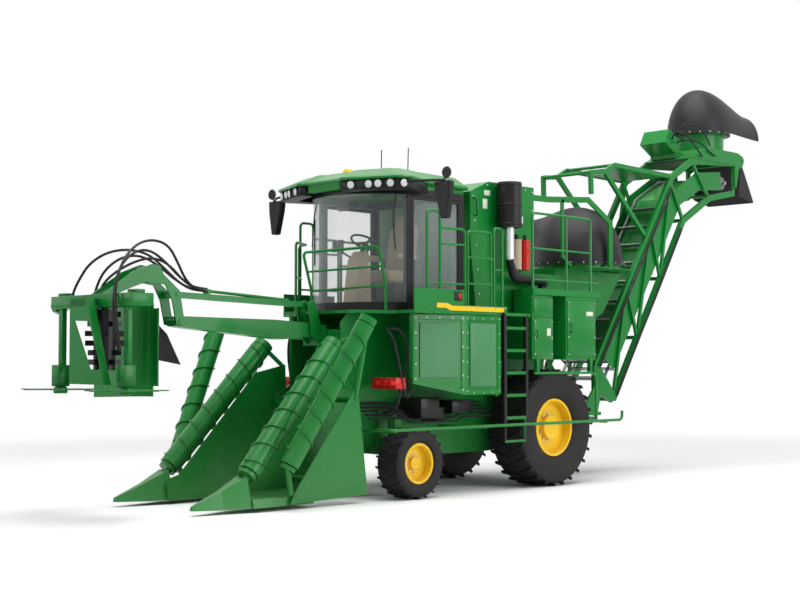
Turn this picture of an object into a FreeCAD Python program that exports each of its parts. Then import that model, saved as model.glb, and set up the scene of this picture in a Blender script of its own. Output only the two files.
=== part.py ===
import FreeCAD, Part
import math
import os
from FreeCAD import Placement, Rotation, Vector

# Sugarcane harvester: single row, wheeled, billet type.
# +X is the way it drives, +Y its left side, +Z up, millimetres.
# The origin lies on the ground under the middle of the whole machine, and every
# sub-part is drawn about the rear axle and then shifted by rear_axle_x.

DOC = FreeCAD.newDocument("sugarcane_harvester")
SHEET = DOC.addObject("Spreadsheet::Sheet", "sizes")

SIZES = {
    # overall places
    "rear_axle_x": -175,
    "wheelbase": 2680,
    "frame_half_width": 480,
    "frame_plate": 20,
    "clear": 0.3,
    "running_fit": 0.05,
    # rear wheels
    "rear_tyre_radius": 800,
    "rear_tyre_width": 600,
    "rear_wheel_y": 920,
    "rear_rim_radius": 375,
    "rear_spindle_radius": 100,
    "rim_plate": 16,
    # front wheels and steering
    "front_tyre_radius": 440,
    "front_tyre_width": 380,
    "front_wheel_y": 1000,
    "front_rim_radius": 235,
    "front_spindle_radius": 38,
    "kingpin_y": 700,
    "kingpin_radius": 40,
    "kingpin_low": 660,
    "kingpin_high": 1040,
    # decks
    "deck_z": 2340,
    "deck_plate": 40,
    "deck_half_width": 1230,
    "deck_front_x": 2840,
    "deck_rear_x": 600,
    "rear_deck_z": 2690,
    "rear_deck_x": -970,
    "tow_pin_radius": 20,
    "walkway_y": 900,
    # cab
    "cab_half_width": 830,
    "cab_rear_x": 1480,
    "cab_front_x": 2560,
    "cab_bulge": 560,
    "cab_floor_z": 2450,
    "cab_roof_z": 3900,
    "cab_post": 70,
    "glass": 8,
    # engine
    "hood_half_width": 860,
    "hood_front_x": 1280,
    "hood_rear_x": 60,
    "hood_top_z": 4120,
    "hood_wall": 20,
    # primary extractor
    "primary_x": -2050,
    "primary_radius": 700,
    "primary_ring_z": 3200,
    "primary_top_z": 4080,
    "extractor_wall": 12,
    # elevator
    "slew_x": -1550,
    "slew_ring_radius": 330,
    "elevator_half_width": 450,
    "chord_wide": 60,
    "chord_deep": 100,
    "elevator_pin_x": -1900,
    "elevator_pin_z": 1330,
    "elevator_pin_radius": 35,
    # secondary extractor
    "secondary_x": -5480,
    "secondary_radius": 430,
    "secondary_ring_z": 5600,
    "secondary_top_z": 6380,
    "flap_hinge_x": -6080,
    "flap_hinge_z": 5160,
    "flap_pin_radius": 20,
    # topper
    "boom_root_x": 3500,
    "boom_root_z": 2100,
    "boom_tip_x": 5560,
    "boom_tip_z": 2160,
    "link_root_x": 3550,
    "link_root_z": 2410,
    "boom_pin_radius": 30,
    # crop dividers
    "divider_pivot_x": 3420,
    "divider_pivot_z": 900,
    "divider_pin_radius": 35,
    "inner_scroll_radius": 130,
    "outer_scroll_radius": 112,
    "flight_bar": 14,
    "flight_pitch": 260,
    # basecutter and roller
    "basecutter_x": 2950,
    "basecutter_y": 235,
    "basecutter_disc_radius": 190,
    "basecutter_reach": 222,
    "roller_x": 3560,
    "roller_z": 1180,
    "roller_radius": 110,
}

for row, (alias, value) in enumerate(SIZES.items(), start=1):
    SHEET.set("A%d" % row, alias)
    SHEET.set("B%d" % row, str(value))
    SHEET.setAlias("B%d" % row, alias)
DOC.recompute()


def size(alias):
    """Read one driving dimension from the spreadsheet."""
    return float(SHEET.get(alias))


X0 = size("rear_axle_x")


# ---------------------------------------------------------------- small helpers

def bind(thing, prop, formula):
    """Tie a property to the spreadsheet."""
    thing.setExpression(prop, formula)


PARTS = []


def feature(label, shape):
    """A sub-part whose shape comes from Part's own functions."""
    thing = DOC.addObject("Part::Feature", label)
    thing.Label = label
    thing.Shape = shape
    thing.Placement = Placement(Vector(X0, 0, 0), Rotation()) * shape.Placement
    PARTS.append(thing)
    return thing


def polygon(points, normal_axis="y", level=0.0):
    """A flat face from 2-D points: (x, z) for y, (x, y) for z, (y, z) for x."""
    spots = [lift(point, normal_axis, level) for point in points]
    return Part.Face(Part.makePolygon(spots + [spots[0]]))


def lift(point, normal_axis, level):
    """Place a 2-D point in space on the plane across normal_axis."""
    first, second = point
    if normal_axis == "y":
        return Vector(first, level, second)
    if normal_axis == "z":
        return Vector(first, second, level)
    return Vector(level, first, second)


def prism(points, normal_axis, low, high):
    """A straight prism of a polygon between two levels."""
    way = {"x": Vector(1, 0, 0), "y": Vector(0, 1, 0), "z": Vector(0, 0, 1)}[normal_axis]
    return polygon(points, normal_axis, low).extrude(way * (high - low))


def block(x_low, x_high, y_low, y_high, z_low, z_high):
    """A box by its limits."""
    return Part.makeBox(x_high - x_low, y_high - y_low, z_high - z_low, Vector(x_low, y_low, z_low))


def rod(start, end, radius):
    """A round bar between two points."""
    start = Vector(*start)
    end = Vector(*end)
    return Part.makeCylinder(radius, (end - start).Length, start, end - start)


def tube(start, end, outer, inner):
    """A hollow round bar between two points."""
    return rod(start, end, outer).cut(rod(start, end, inner))


def box_bar(start, end, wide, deep):
    """A square bar in the XZ plane between two points, wide along Y."""
    start = Vector(*start)
    end = Vector(*end)
    way = end - start
    bar = Part.makeBox(way.Length, wide, deep, Vector(0, -wide / 2.0, -deep / 2.0))
    bar.Placement = Placement(start, Rotation(Vector(1, 0, 0), way))
    return bar


def mirrored(shape):
    """The same shape on the other side of the machine."""
    return shape.mirror(Vector(0, 0, 0), Vector(0, 1, 0))


def both(shape):
    """A shape and its mirror image, as two loose pieces."""
    return [shape, mirrored(shape)]


def fused(shapes):
    """One solid from pieces that touch."""
    return shapes[0].multiFuse(shapes[1:]).removeSplitter()


def rounded_path(points, bend):
    """Straight runs joined by arcs of one bend radius."""
    spots = [Vector(*point) for point in points]
    edges = []
    start = spots[0]
    for before, corner, after in zip(spots, spots[1:], spots[2:]):
        way_in = (corner - before).normalize()
        way_out = (after - corner).normalize()
        turn = way_in.getAngle(way_out)
        reach = bend * math.tan(turn / 2.0)
        entry = corner - way_in * reach
        leave = corner + way_out * reach
        inward = (way_out - way_in).normalize()
        middle = corner + inward * (bend / math.cos(turn / 2.0) - bend)
        edges.append(Part.makeLine(start, entry))
        edges.append(Part.Arc(entry, middle, leave).toShape())
        start = leave
    edges.append(Part.makeLine(start, spots[-1]))
    return Part.Wire(edges)


def bent_rail(points, radius, bend=70.0):
    """A handrail: round bar along straight runs and arcs."""
    path = rounded_path(points, bend)
    way = Vector(*points[1]) - Vector(*points[0])
    ring = Part.Wire([Part.makeCircle(radius, Vector(*points[0]), way)])
    return path.makePipeShell([ring], True, False)


PLANES = {"XY": "XY_Plane", "XZ": "XZ_Plane", "YZ": "YZ_Plane"}


def new_body(label, place=None, tilt=None):
    """A PartDesign body that sits at a point measured from the rear axle."""
    body = DOC.addObject("PartDesign::Body", label)
    body.Label = label
    base = Vector(0, 0, 0) if place is None else Vector(*place)
    turn = Rotation() if tilt is None else tilt
    body.Placement = Placement(base + Vector(X0, 0, 0), turn)
    PARTS.append(body)
    return body


def new_sketch(body, plane, name, offset=0.0):
    """A sketch on one of the body's own origin planes."""
    sketch = body.newObject("Sketcher::SketchObject", name)
    role = PLANES[plane]
    origin = [part for part in body.Origin.OriginFeatures if part.Role == role][0]
    sketch.AttachmentSupport = [(origin, "")]
    sketch.MapMode = "FlatFace"
    sketch.AttachmentOffset = Placement(Vector(0, 0, offset), Rotation())
    return sketch


def draw_polygon(sketch, points):
    """Closed run of lines through points, pinned corner to corner."""
    first = sketch.GeometryCount
    spots = [Vector(x, y, 0) for x, y in points]
    for start, end in zip(spots, spots[1:] + spots[:1]):
        sketch.addGeometry(Part.LineSegment(start, end))
    return first


def revolve_body(body, sketch, axis):
    """Full turn of a sketch about one of its own axes."""
    turn = body.newObject("PartDesign::Revolution", sketch.Name + "_turn")
    turn.Profile = sketch
    turn.ReferenceAxis = (sketch, [axis])
    turn.Angle = 360
    return turn


def pad_body(body, sketch, length, symmetric=False):
    """Pad a sketch by a number or a spreadsheet formula."""
    pad = body.newObject("PartDesign::Pad", sketch.Name + "_pad")
    pad.Profile = sketch
    if isinstance(length, str):
        bind(pad, "Length", length)
    else:
        pad.Length = length
    pad.Midplane = symmetric
    return pad


# ---------------------------------------------------------------- wheels and axles

def tyre(label, place, side, radius, width, rim_radius):
    """Closed tyre ring: bead, bulged wall, shoulder and tread."""
    half = width / 2.0
    bead = half * 0.75
    shoulder = radius - 0.07 * radius
    body = new_body(label, place)
    sketch = new_sketch(body, "YZ", label + "_section")
    corners = {
        "bead_in": Vector(-bead, rim_radius, 0),
        "bead_out": Vector(bead, rim_radius, 0),
        "lip_out": Vector(bead, rim_radius + 22, 0),
        "lip_in": Vector(-bead, rim_radius + 22, 0),
        "wall_out": Vector(half * 0.985, shoulder, 0),
        "tread_out": Vector(half * 0.84, radius, 0),
        "tread_in": Vector(-half * 0.84, radius, 0),
        "wall_in": Vector(-half * 0.985, shoulder, 0),
    }
    middle = (rim_radius + shoulder) / 2.0
    sketch.addGeometry(Part.LineSegment(corners["bead_in"], corners["bead_out"]))
    sketch.addGeometry(Part.LineSegment(corners["bead_out"], corners["lip_out"]))
    sketch.addGeometry(Part.Arc(corners["lip_out"], Vector(half * 0.995, middle, 0), corners["wall_out"]))
    sketch.addGeometry(Part.LineSegment(corners["wall_out"], corners["tread_out"]))
    sketch.addGeometry(Part.LineSegment(corners["tread_out"], corners["tread_in"]))
    sketch.addGeometry(Part.LineSegment(corners["tread_in"], corners["wall_in"]))
    sketch.addGeometry(Part.Arc(corners["wall_in"], Vector(-half * 0.995, middle, 0), corners["lip_in"]))
    sketch.addGeometry(Part.LineSegment(corners["lip_in"], corners["bead_in"]))
    revolve_body(body, sketch, "H_Axis")
    return body


def rim(label, place, side, rim_radius, half_barrel, hub):
    """Dished rim with flanges, disc, hub boss and a blind bore for the spindle."""
    wall = size("rim_plate")
    flange = rim_radius + 18
    lip = half_barrel + 12
    inner = rim_radius - wall
    face_in, face_out, boss_radius, boss_low, cap, bore, bore_end = hub
    section = [
        (-lip, flange), (-half_barrel, flange), (-half_barrel, rim_radius), (half_barrel, rim_radius),
        (half_barrel, flange), (lip, flange), (lip, inner), (face_out, inner), (face_out, boss_radius),
        (cap, boss_radius), (cap, 0), (bore_end, 0), (bore_end, bore), (boss_low, bore),
        (boss_low, boss_radius), (face_in, boss_radius), (face_in, inner), (-lip, inner),
    ]
    body = new_body(label, place)
    sketch = new_sketch(body, "YZ", label + "_section")
    draw_polygon(sketch, [(side * along, out) for along, out in section])
    revolve_body(body, sketch, "H_Axis")
    return body


REAR_HUB = (100, 116, 160, -200, 190, size("rear_spindle_radius") + size("running_fit"), 130)
FRONT_HUB = (40, 52, 80, -120, 90, size("front_spindle_radius") + size("running_fit"), 50)
SIDES = {"left": 1, "right": -1}


def wheels():
    """Four wheels: a tyre and a yellow rim each."""
    for word, side in SIDES.items():
        rear = (0, side * size("rear_wheel_y"), size("rear_tyre_radius"))
        tyre("rear_tyre_" + word, rear, side, size("rear_tyre_radius"), size("rear_tyre_width"),
             size("rear_rim_radius"))
        rim("rear_rim_" + word, rear, side, size("rear_rim_radius"), 0.375 * size("rear_tyre_width"),
            REAR_HUB)
        front = (size("wheelbase"), side * size("front_wheel_y"), size("front_tyre_radius"))
        tyre("front_tyre_" + word, front, side, size("front_tyre_radius"), size("front_tyre_width"),
             size("front_rim_radius"))
        rim("front_rim_" + word, front, side, size("front_rim_radius"), 0.375 * size("front_tyre_width"),
            FRONT_HUB)


def final_drives():
    """Planetary drive housings on the frame walls, each with the spindle of its wheel."""
    wall = size("frame_half_width")
    height = size("rear_tyre_radius")
    boss_start = size("rear_wheel_y") + REAR_HUB[3]
    tip = size("rear_wheel_y") + REAR_HUB[6] - 5
    housing = rod((0, wall, height), (0, boss_start - 20, height), 230)
    flange = rod((0, wall, height), (0, wall + 40, height), 270)
    spindle = rod((0, wall, height), (0, tip, height), size("rear_spindle_radius"))
    drive = fused([housing, flange, spindle])
    feature("final_drives", Part.makeCompound(both(drive)))


def front_legs():
    """Brackets on the frame walls that hold the kingpins."""
    wheel_x = size("wheelbase")
    wall = size("frame_half_width")
    pin_y = size("kingpin_y")
    low = size("kingpin_low")
    high = size("kingpin_high")
    column = block(wheel_x - 90, wheel_x + 90, wall, wall + 50, low - 60, high + 60)
    arms = []
    for base in (low, high - 60):
        arms.append(block(wheel_x - 42, wheel_x + 42, wall + 50, pin_y, base, base + 60))
        arms.append(rod((wheel_x, pin_y, base), (wheel_x, pin_y, base + 60), 42))
    pin = rod((wheel_x, pin_y, low), (wheel_x, pin_y, high), size("kingpin_radius"))
    leg = fused([column, pin] + arms)
    feature("front_legs", Part.makeCompound(both(leg)))


def knuckles():
    """Steering knuckle: sleeve on the kingpin, drop leg and stub spindle."""
    wheel_x = size("wheelbase")
    pin_y = size("kingpin_y")
    low = size("kingpin_low") + 65
    high = size("kingpin_high") - 65
    axle_z = size("front_tyre_radius")
    leg_in = pin_y + 52
    leg_out = leg_in + 36
    boss_start = size("front_wheel_y") + FRONT_HUB[3]
    tip = size("front_wheel_y") + FRONT_HUB[6] - 5
    sleeve = rod((wheel_x, pin_y, low), (wheel_x, pin_y, high), 66)
    bore = rod((wheel_x, pin_y, low - 10), (wheel_x, pin_y, high + 10),
               size("kingpin_radius") + size("running_fit"))
    leg = block(wheel_x - 60, wheel_x + 60, leg_in, leg_out, axle_z - 70, high)
    flange = rod((wheel_x, leg_in, axle_z), (wheel_x, boss_start - 10, axle_z), 60)
    stub = rod((wheel_x, leg_in, axle_z), (wheel_x, tip, axle_z), size("front_spindle_radius"))
    knuckle = fused([sleeve, leg, flange, stub]).cut(bore)
    for word, side in SIDES.items():
        feature("knuckle_" + word, knuckle if side > 0 else mirrored(knuckle))


# ---------------------------------------------------------------- frame and body

WALL_OUTLINE = [
    (3380, 620), (3380, 1090), (3640, 1090), (3640, 1270), (3380, 1400), (3380, 2180), (3280, 2300),
    (-900, 2300), (-900, 2100), (-620, 1700), (-620, 1150), (-900, 880), (-1900, 880), (-1900, 800),
    (-500, 640), (-300, 520), (300, 520), (600, 480), (2300, 480), (3100, 560),
]


def chassis_frame():
    """Two side walls, cross boxes, the tail beam, the cutter box and the boom tower."""
    outside = size("frame_half_width")
    inside = outside - size("frame_plate")
    walls = both(prism(WALL_OUTLINE, "y", inside, outside))
    crossings = [
        block(3260, 3360, -inside, inside, 1980, 2100),
        block(1300, 1420, -inside, inside, 1980, 2100),
        block(-620, -500, -inside, inside, 1980, 2100),
        block(-560, -440, -inside, inside, 700, 820),
        block(-1880, -1220, -inside, inside, 800, 880),
        block(600, 720, -inside, inside, 520, 640),
    ]
    cutter_x = size("basecutter_x")
    cutter_box = block(cutter_x - 130, cutter_x + 130, -inside, inside, 560, 720)
    stubs = [rod((cutter_x, side * size("basecutter_y"), 300), (cutter_x, side * size("basecutter_y"), 600), 40)
             for side in SIDES.values()]
    roller_stubs = [rod((size("roller_x"), side * inside, size("roller_z")),
                        (size("roller_x"), side * (inside - 60), size("roller_z")), 25)
                    for side in SIDES.values()]
    spigot = rod((size("slew_x"), 0, 860), (size("slew_x"), 0, 935), 60)
    pieces = walls + crossings + [cutter_box, spigot] + stubs + roller_stubs
    feature("chassis_frame", fused(pieces + boom_tower() + divider_pins()))


def tow_tongue():
    """Plate under the tail beam with the hole for a tow pin."""
    under = 800 - size("clear")
    plate = block(-2010, -1700, -70, 70, under - 30, under)
    feature("tow_tongue", plate.cut(rod((-1950, 0, under - 40), (-1950, 0, under + 10), size("tow_pin_radius"))))


def boom_tower():
    """Pair of cheek plates on the frame's nose that carry the boom and its upper link."""
    boom = (size("boom_root_x"), size("boom_root_z"))
    link = (size("link_root_x"), size("link_root_z"))
    outline = [(3380, 1900), (boom[0] + 60, boom[1] - 60), (boom[0] + 60, boom[1] + 60),
               (link[0] + 50, link[1]), (link[0], link[1] + 50), (link[0] - 60, link[1] + 50),
               (3380, boom[1] + 60)]
    cheeks = both(prism(outline, "y", 100, 120))
    foot = block(3360, 3400, -200, 200, 1900, 2160)
    pins = [rod((boom[0], -120, boom[1]), (boom[0], 120, boom[1]), size("boom_pin_radius")),
            rod((link[0], -120, link[1]), (link[0], 120, link[1]), 0.7 * size("boom_pin_radius"))]
    return cheeks + [foot] + pins


def decks():
    """Main deck with its skirts, and the raised rear walkways."""
    top = size("deck_z")
    under = top - size("deck_plate")
    front = size("deck_front_x")
    rear = size("deck_rear_x")
    half = size("deck_half_width")
    outline = [(rear, -half), (front, -half), (front, -900), (3370, -620), (3370, 620), (front, 900),
               (front, half), (rear, half)]
    plate = prism(outline, "z", under, top)
    skirts = both(block(rear + 480, 1920, half - 20, half, top, top + 80))
    skirts += both(block(1920, front, half - 20, half, top, top + 270))
    posts = both(block(1240, 1300, half - 80, half - 15 - size("clear"), 1250, under))
    posts += both(block(2760, 2800, half - 130, half - 70, 1500, under))
    main = fused([plate] + skirts + posts)
    walk_top = size("rear_deck_z")
    inner = size("walkway_y")
    tail = size("rear_deck_x")
    walk = block(tail, rear - 40, inner, half + 20, walk_top - 90, walk_top)
    feature("decks", Part.makeCompound([main] + both(walk)))


def cabinets():
    """Service cabinets under the rear walkways and the struts that carry them."""
    wall = size("frame_half_width")
    top = size("rear_deck_z") - 90
    under = size("deck_z") - size("deck_plate")
    inner = size("walkway_y")
    half = size("deck_half_width")
    low = [block(110, 560, wall, half, 1710, under), block(-830, -150, wall, half + 20, 1750, under),
           block(-150, 110, wall, inner + 100, 1900, under)]
    high = [block(110, 560, inner, half, under, top), block(-830, -150, inner, half + 20, under, top),
            block(-150, 110, inner, inner + 100, under, top)]
    cabinet = fused(low + high)
    feature("cabinets", Part.makeCompound(both(cabinet)))


def engine():
    """Engine block on the frame under its hood."""
    feature("engine", block(250, 1100, -380, 380, size("deck_z"), 3250))


def engine_hood():
    """Hollow hood over the engine: sheet walls and a sloped nose."""
    wall = size("hood_wall")
    half = size("hood_half_width")
    front = size("hood_front_x")
    rear = size("hood_rear_x")
    top = size("hood_top_z")
    base = size("deck_z")
    outline = [(rear, base), (front, base), (front + 110, 3300), (front + 110, 3960), (front - 260, top),
               (rear, top)]
    inside = [(rear + wall, base), (front - wall, base), (front + 110 - wall, 3300),
              (front + 110 - wall, 3945), (front - 265, top - wall), (rear + wall, top - wall)]
    shell = prism(outline, "y", -half, half).cut(prism(inside, "y", wall - half, half - wall))
    feature("engine_hood", shell)


def side_doors():
    """Two-facet service doors between front wheel and ladder, hinged at the rear edge."""
    face = size("deck_half_width") + 15
    outline = [(1230, face), (1920, face), (2840, face - 55), (2840, face - 85), (1920, face - 30),
               (1230, face - 30)]
    door = prism(outline, "z", 1260, 2290)
    slope = prism([(1920, 1200), (1920, 1275), (2900, 1460), (2900, 1200)], "y", face - 245, face + 55)
    door = door.cut(slope)
    for word, side in SIDES.items():
        feature("side_door_" + word, door if side > 0 else mirrored(door))


def ladder():
    """Ladder up the left side to the deck, with a hung lower step."""
    low, high = 900, size("deck_z")
    near = size("deck_half_width")
    far = near + 44
    parts = [block(1140, 1190, near, far, low, high), block(700, 750, near, far, low, high)]
    for step in range(5):
        level = 940 + step * 295
        parts.append(block(750, 1140, near, far, level, level + 40))
    parts.append(block(750, 1140, near, far, high - 40, high))
    parts.append(block(740, 770, near + 4, far - 4, 640, 940))
    parts.append(block(1150, 1180, near + 4, far - 4, 640, 940))
    parts.append(block(740, 1180, near + 4, far - 4, 640, 670))
    feature("ladder", fused(parts))


def low_rails():
    """Tube rails along both flanks above the wheels."""
    line = size("deck_half_width") + 70
    rail = bent_rail([(-1380, line, 1000), (-1380, line, 870), (3300, line, 870), (3300, line - 250, 870)], 20)
    stays = [block(x, x + 40, size("frame_half_width"), line - 10, 835, 870) for x in (-1040, 1560, 3210)]
    rails = fused([rail] + stays)
    feature("low_rails", Part.makeCompound(both(rails)))


def tanks():
    """Fuel and oil tanks behind the side doors, and the cooler between hood and extractor."""
    wall = size("frame_half_width")
    tank = block(1330, 2350, wall, size("deck_half_width") - 110, 1480, size("deck_z") - size("deck_plate"))
    top = size("deck_z") - size("deck_plate")
    bay = block(-860, 20, -600, 600, top, 2950)
    feature("tanks", Part.makeCompound(both(tank) + [bay]))


# ---------------------------------------------------------------- cab

def cab_plan(inset=0.0):
    """Plan outline of the cab as edges: straight back and sides, bulged front."""
    half = size("cab_half_width") - inset
    rear = size("cab_rear_x") + inset
    front = size("cab_front_x")
    nose = front + size("cab_bulge") - inset
    corners = [Vector(front, -half, 0), Vector(rear, -half, 0), Vector(rear, half, 0), Vector(front, half, 0)]
    edges = [Part.makeLine(corners[0], corners[1]), Part.makeLine(corners[1], corners[2]),
             Part.makeLine(corners[2], corners[3]),
             Part.Arc(corners[3], Vector(nose, 0, 0), corners[0]).toShape()]
    return Part.Face(Part.Wire(edges))


def plan_slab(face, low, high):
    """A plan face raised between two heights."""
    slab = face.copy()
    slab.translate(Vector(0, 0, low))
    return slab.extrude(Vector(0, 0, high - low))


def cab_frame():
    """Cab base with its sill, four posts and the header under the roof."""
    floor = size("cab_floor_z")
    roof = size("cab_roof_z")
    post = size("cab_post")
    half = size("cab_half_width")
    rear = size("cab_rear_x")
    front = size("cab_front_x")
    base = plan_slab(cab_plan(), size("deck_z"), floor)
    header = plan_slab(cab_plan(), roof - 80, roof).cut(plan_slab(cab_plan(post), roof - 90, roof + 10))
    posts = []
    for side in SIDES.values():
        low_y, high_y = sorted((side * half, side * (half - post)))
        posts.append(block(front - post, front, low_y, high_y, floor, roof - 80))
        posts.append(block(rear, rear + post, low_y, high_y, floor, roof - 80))
    feature("cab_frame", fused([base, header] + posts))


def cab_glass():
    """Bulged windscreen and rear pane."""
    floor = size("cab_floor_z") + size("clear")
    top = size("cab_roof_z") - 80 - size("clear")
    thick = size("glass")
    post = size("cab_post")
    half = size("cab_half_width")
    rear = size("cab_rear_x")
    front = size("cab_front_x")
    ring = plan_slab(cab_plan(10), floor, top).cut(plan_slab(cab_plan(10 + thick), floor - 10, top + 10))
    screen = ring.common(block(front + 2, front + 900, -half, half, floor, top))
    back = block(rear + 20, rear + 20 + thick, post + 1 - half, half - post - 1, floor, top)
    feature("cab_glass", Part.makeCompound([screen, back]))


def cab_doors():
    """Doors of both sides: black frame round a full-height pane, hinged at the rear post."""
    low = size("cab_floor_z") + 6
    high = size("cab_roof_z") - 86
    half = size("cab_half_width")
    start = size("cab_rear_x") + size("cab_post") + size("clear")
    end = size("cab_front_x") - size("cab_post") - 6
    frame = block(start, end, half - 40, half, low, high)
    window = block(start + 45, end - 45, half - 60, half + 20, low + 45, high - 45)
    pane = block(start + 45, end - 45, half - 30, half - 30 + size("glass"), low + 45, high - 45)
    door = fused([frame.cut(window), pane])
    for word, side in SIDES.items():
        feature("cab_door_" + word, door if side > 0 else mirrored(door))


def cab_roof():
    """Roof: wide visor over the screen and a narrowed tail, with a sloped rim."""
    body = new_body("cab_roof", (0, 0, size("cab_roof_z")))
    edge_plan = [(1420, 860), (2300, 960), (2860, 1190), (3040, 1120), (3330, 400)]
    crown_plan = [(1560, 740), (2300, 800), (2760, 900), (2860, 840), (3020, 300)]
    levels = (("edge_low", edge_plan, 0), ("edge_high", edge_plan, 90), ("crown", crown_plan, 230))
    sketches = []
    for name, half_plan, level in levels:
        sketch = new_sketch(body, "XY", "roof_" + name, level)
        draw_polygon(sketch, half_plan + [(x, -y) for x, y in reversed(half_plan)])
        sketches.append(sketch)
    pad_body(body, sketches[0], 90)
    DOC.recompute()
    slope = body.newObject("PartDesign::AdditiveLoft", "roof_slope")
    slope.Profile = sketches[1]
    slope.Sections = [sketches[2]]
    slope.Ruled = True


LAMP_CORNER = [(2700, 1100), (2840, 1160), (3010, 1090), (3290, 380), (3100, 380), (2800, 1000)]


def roof_lamps():
    """Black lamp band under the visor's two corners."""
    band = prism([(2700, 1100), (2840, 1160), (3010, 1090), (3290, 380), (3290, 0), (3100, 0)], "z",
                 size("cab_roof_z") - 78, size("cab_roof_z"))
    face = prism(LAMP_CORNER, "z", size("cab_roof_z") - 78, size("cab_roof_z"))
    trim = plan_slab(cab_plan(-1), size("cab_roof_z") - 100, size("cab_roof_z") + 10)
    half = band.fuse(face).cut(trim)
    feature("lamp_band", fused([half, mirrored(half)]))


def seat():
    """Driver's seat on its pedestal."""
    floor = size("cab_floor_z")
    pedestal = block(1800, 2150, -200, 200, floor, floor + 330)
    cushion = block(1760, 2240, -250, 250, floor + 330, floor + 460)
    back = block(1680, 1800, -250, 250, floor + 460, floor + 1150)
    feature("seat", fused([pedestal, cushion, back]))


def steering_column():
    """Console, column and wheel in front of the seat."""
    floor = size("cab_floor_z")
    console = prism([(2480, floor), (2780, floor), (2660, floor + 700), (2560, floor + 700)], "y", -110, 110)
    rim_ring = Part.makeTorus(190, 16, Vector(2520, 0, floor + 830), Vector(-0.5, 0, 1))
    shaft = rod((2600, 0, floor + 650), (2520, 0, floor + 830), 25)
    spoke = rod((2520, -190, floor + 830), (2520, 190, floor + 830), 12)
    feature("steering_console", fused([console, shaft, rim_ring, spoke]))


def mirrors():
    """Tall mirrors hung outside the visor with a round mirror over each."""
    arm = rod((2780, 1100, 3860), (2700, 1600, 3860), 16)
    hanger = rod((2700, 1590, 3870), (2700, 1590, 3700), 18)
    plate = block(2660, 2740, 1500, 1680, 3200, 3720)
    small = rod((2690, 1640, 4010), (2720, 1640, 4010), 75)
    post = rod((2700, 1595, 3865), (2700, 1640, 3990), 14)
    mirror = fused([arm, hanger, plate, small, post])
    mirror = mirror.cut(prism(LAMP_CORNER, "z", 3800, 3905))
    feature("mirrors", Part.makeCompound(both(mirror)))


# ---------------------------------------------------------------- rails, exhaust, bottles

def front_rails():
    """Handrails on the nose and beside the cab."""
    top = size("deck_z")
    line = size("deck_half_width") - 40
    radius = 18
    nose = bent_rail([(3340, -600, top), (3340, -600, top + 900), (3340, 600, top + 900),
                      (3340, 600, top)], radius, 60)
    middle = rod((3340, -600, top + 450), (3340, 600, top + 450), 14)
    parts = [fused([nose, middle])]
    for side in SIDES.values():
        fence = bent_rail([(2600, side * line, top), (2600, side * line, top + 1000),
                           (1900, side * line, top + 1000), (1900, side * line, top)], radius, 80)
        bar = rod((2600, side * line, top + 500), (1900, side * line, top + 500), 14)
        gate = bent_rail([(1800, side * line, top), (1800, side * line, top + 1100),
                          (1320, side * line, top + 1100), (1320, side * line, top)], radius, 80)
        gate_bar = rod((1800, side * line, top + 550), (1320, side * line, top + 550), 14)
        parts.append(fused([fence, bar]))
        parts.append(fused([gate, gate_bar]))
    return parts


def rear_rails():
    """Three-bar railings round the raised walkways."""
    base = size("rear_deck_z")
    parts = []
    for side in SIDES.values():
        line = side * (size("deck_half_width") - 5)
        fence = bent_rail([(540, line, base), (540, line, base + 1020),
                           (-750, line, base + 1020), (-750, line, base)], 18, 80)
        posts = rod((-200, line, base), (-200, line, base + 1020), 16)
        low_bar = rod((540, line, base + 120), (-940, line, base + 120), 14)
        bar = rod((540, line, base + 540), (-750, line, base + 540), 14)
        parts.append(fused([fence, posts, low_bar, bar]))
    return parts


def air_intake():
    """Pre-cleaner can on the hood's left side with its pipe down and back."""
    can = rod((800, 1040, 3500), (800, 1040, 4110), 165)
    strap = block(760, 840, size("hood_half_width"), 900, 3600, 3700)
    pipe = bent_rail([(800, 1040, 3500), (800, 1040, 3100), (700, 1040, 2820), (100, 1040, 2800),
                      (0, 980, 2780)], 62, 110)
    leg = block(100, 160, 1000, 1080, size("rear_deck_z"), 2740)
    feature("air_intake", fused([can, strap, pipe, leg]))


def bottles():
    """Two extinguishers clamped to the hood's left side."""
    parts = []
    for x in (380, 560):
        bottle = rod((x, 960, 2950), (x, 960, 3360), 70)
        neck = rod((x, 960, 3360), (x, 960, 3430), 25)
        clamp = block(x - 30, x + 30, size("hood_half_width"), 900, 3050, 3120)
        parts.append(fused([bottle, neck, clamp]))
    feature("extinguishers", Part.makeCompound(parts))


# ---------------------------------------------------------------- primary extractor

def arch(x, half, base, crown, thin=0.0):
    """Arch section across X: half ellipse over a straight base, thinned by a wall."""
    half_in = half - thin
    rise = crown - thin - base
    round_arc = Part.Arc(Vector(0, 1, 0), Vector(0, 0, 1), Vector(0, -1, 0)).toShape()
    stretch = FreeCAD.Matrix()
    stretch.scale(1, half_in, rise)
    stretch.move(x, 0, base)
    curve = round_arc.transformGeometry(stretch)
    return Part.Wire([curve, Part.makeLine(Vector(x, -half_in, base), Vector(x, half_in, base))])


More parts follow.
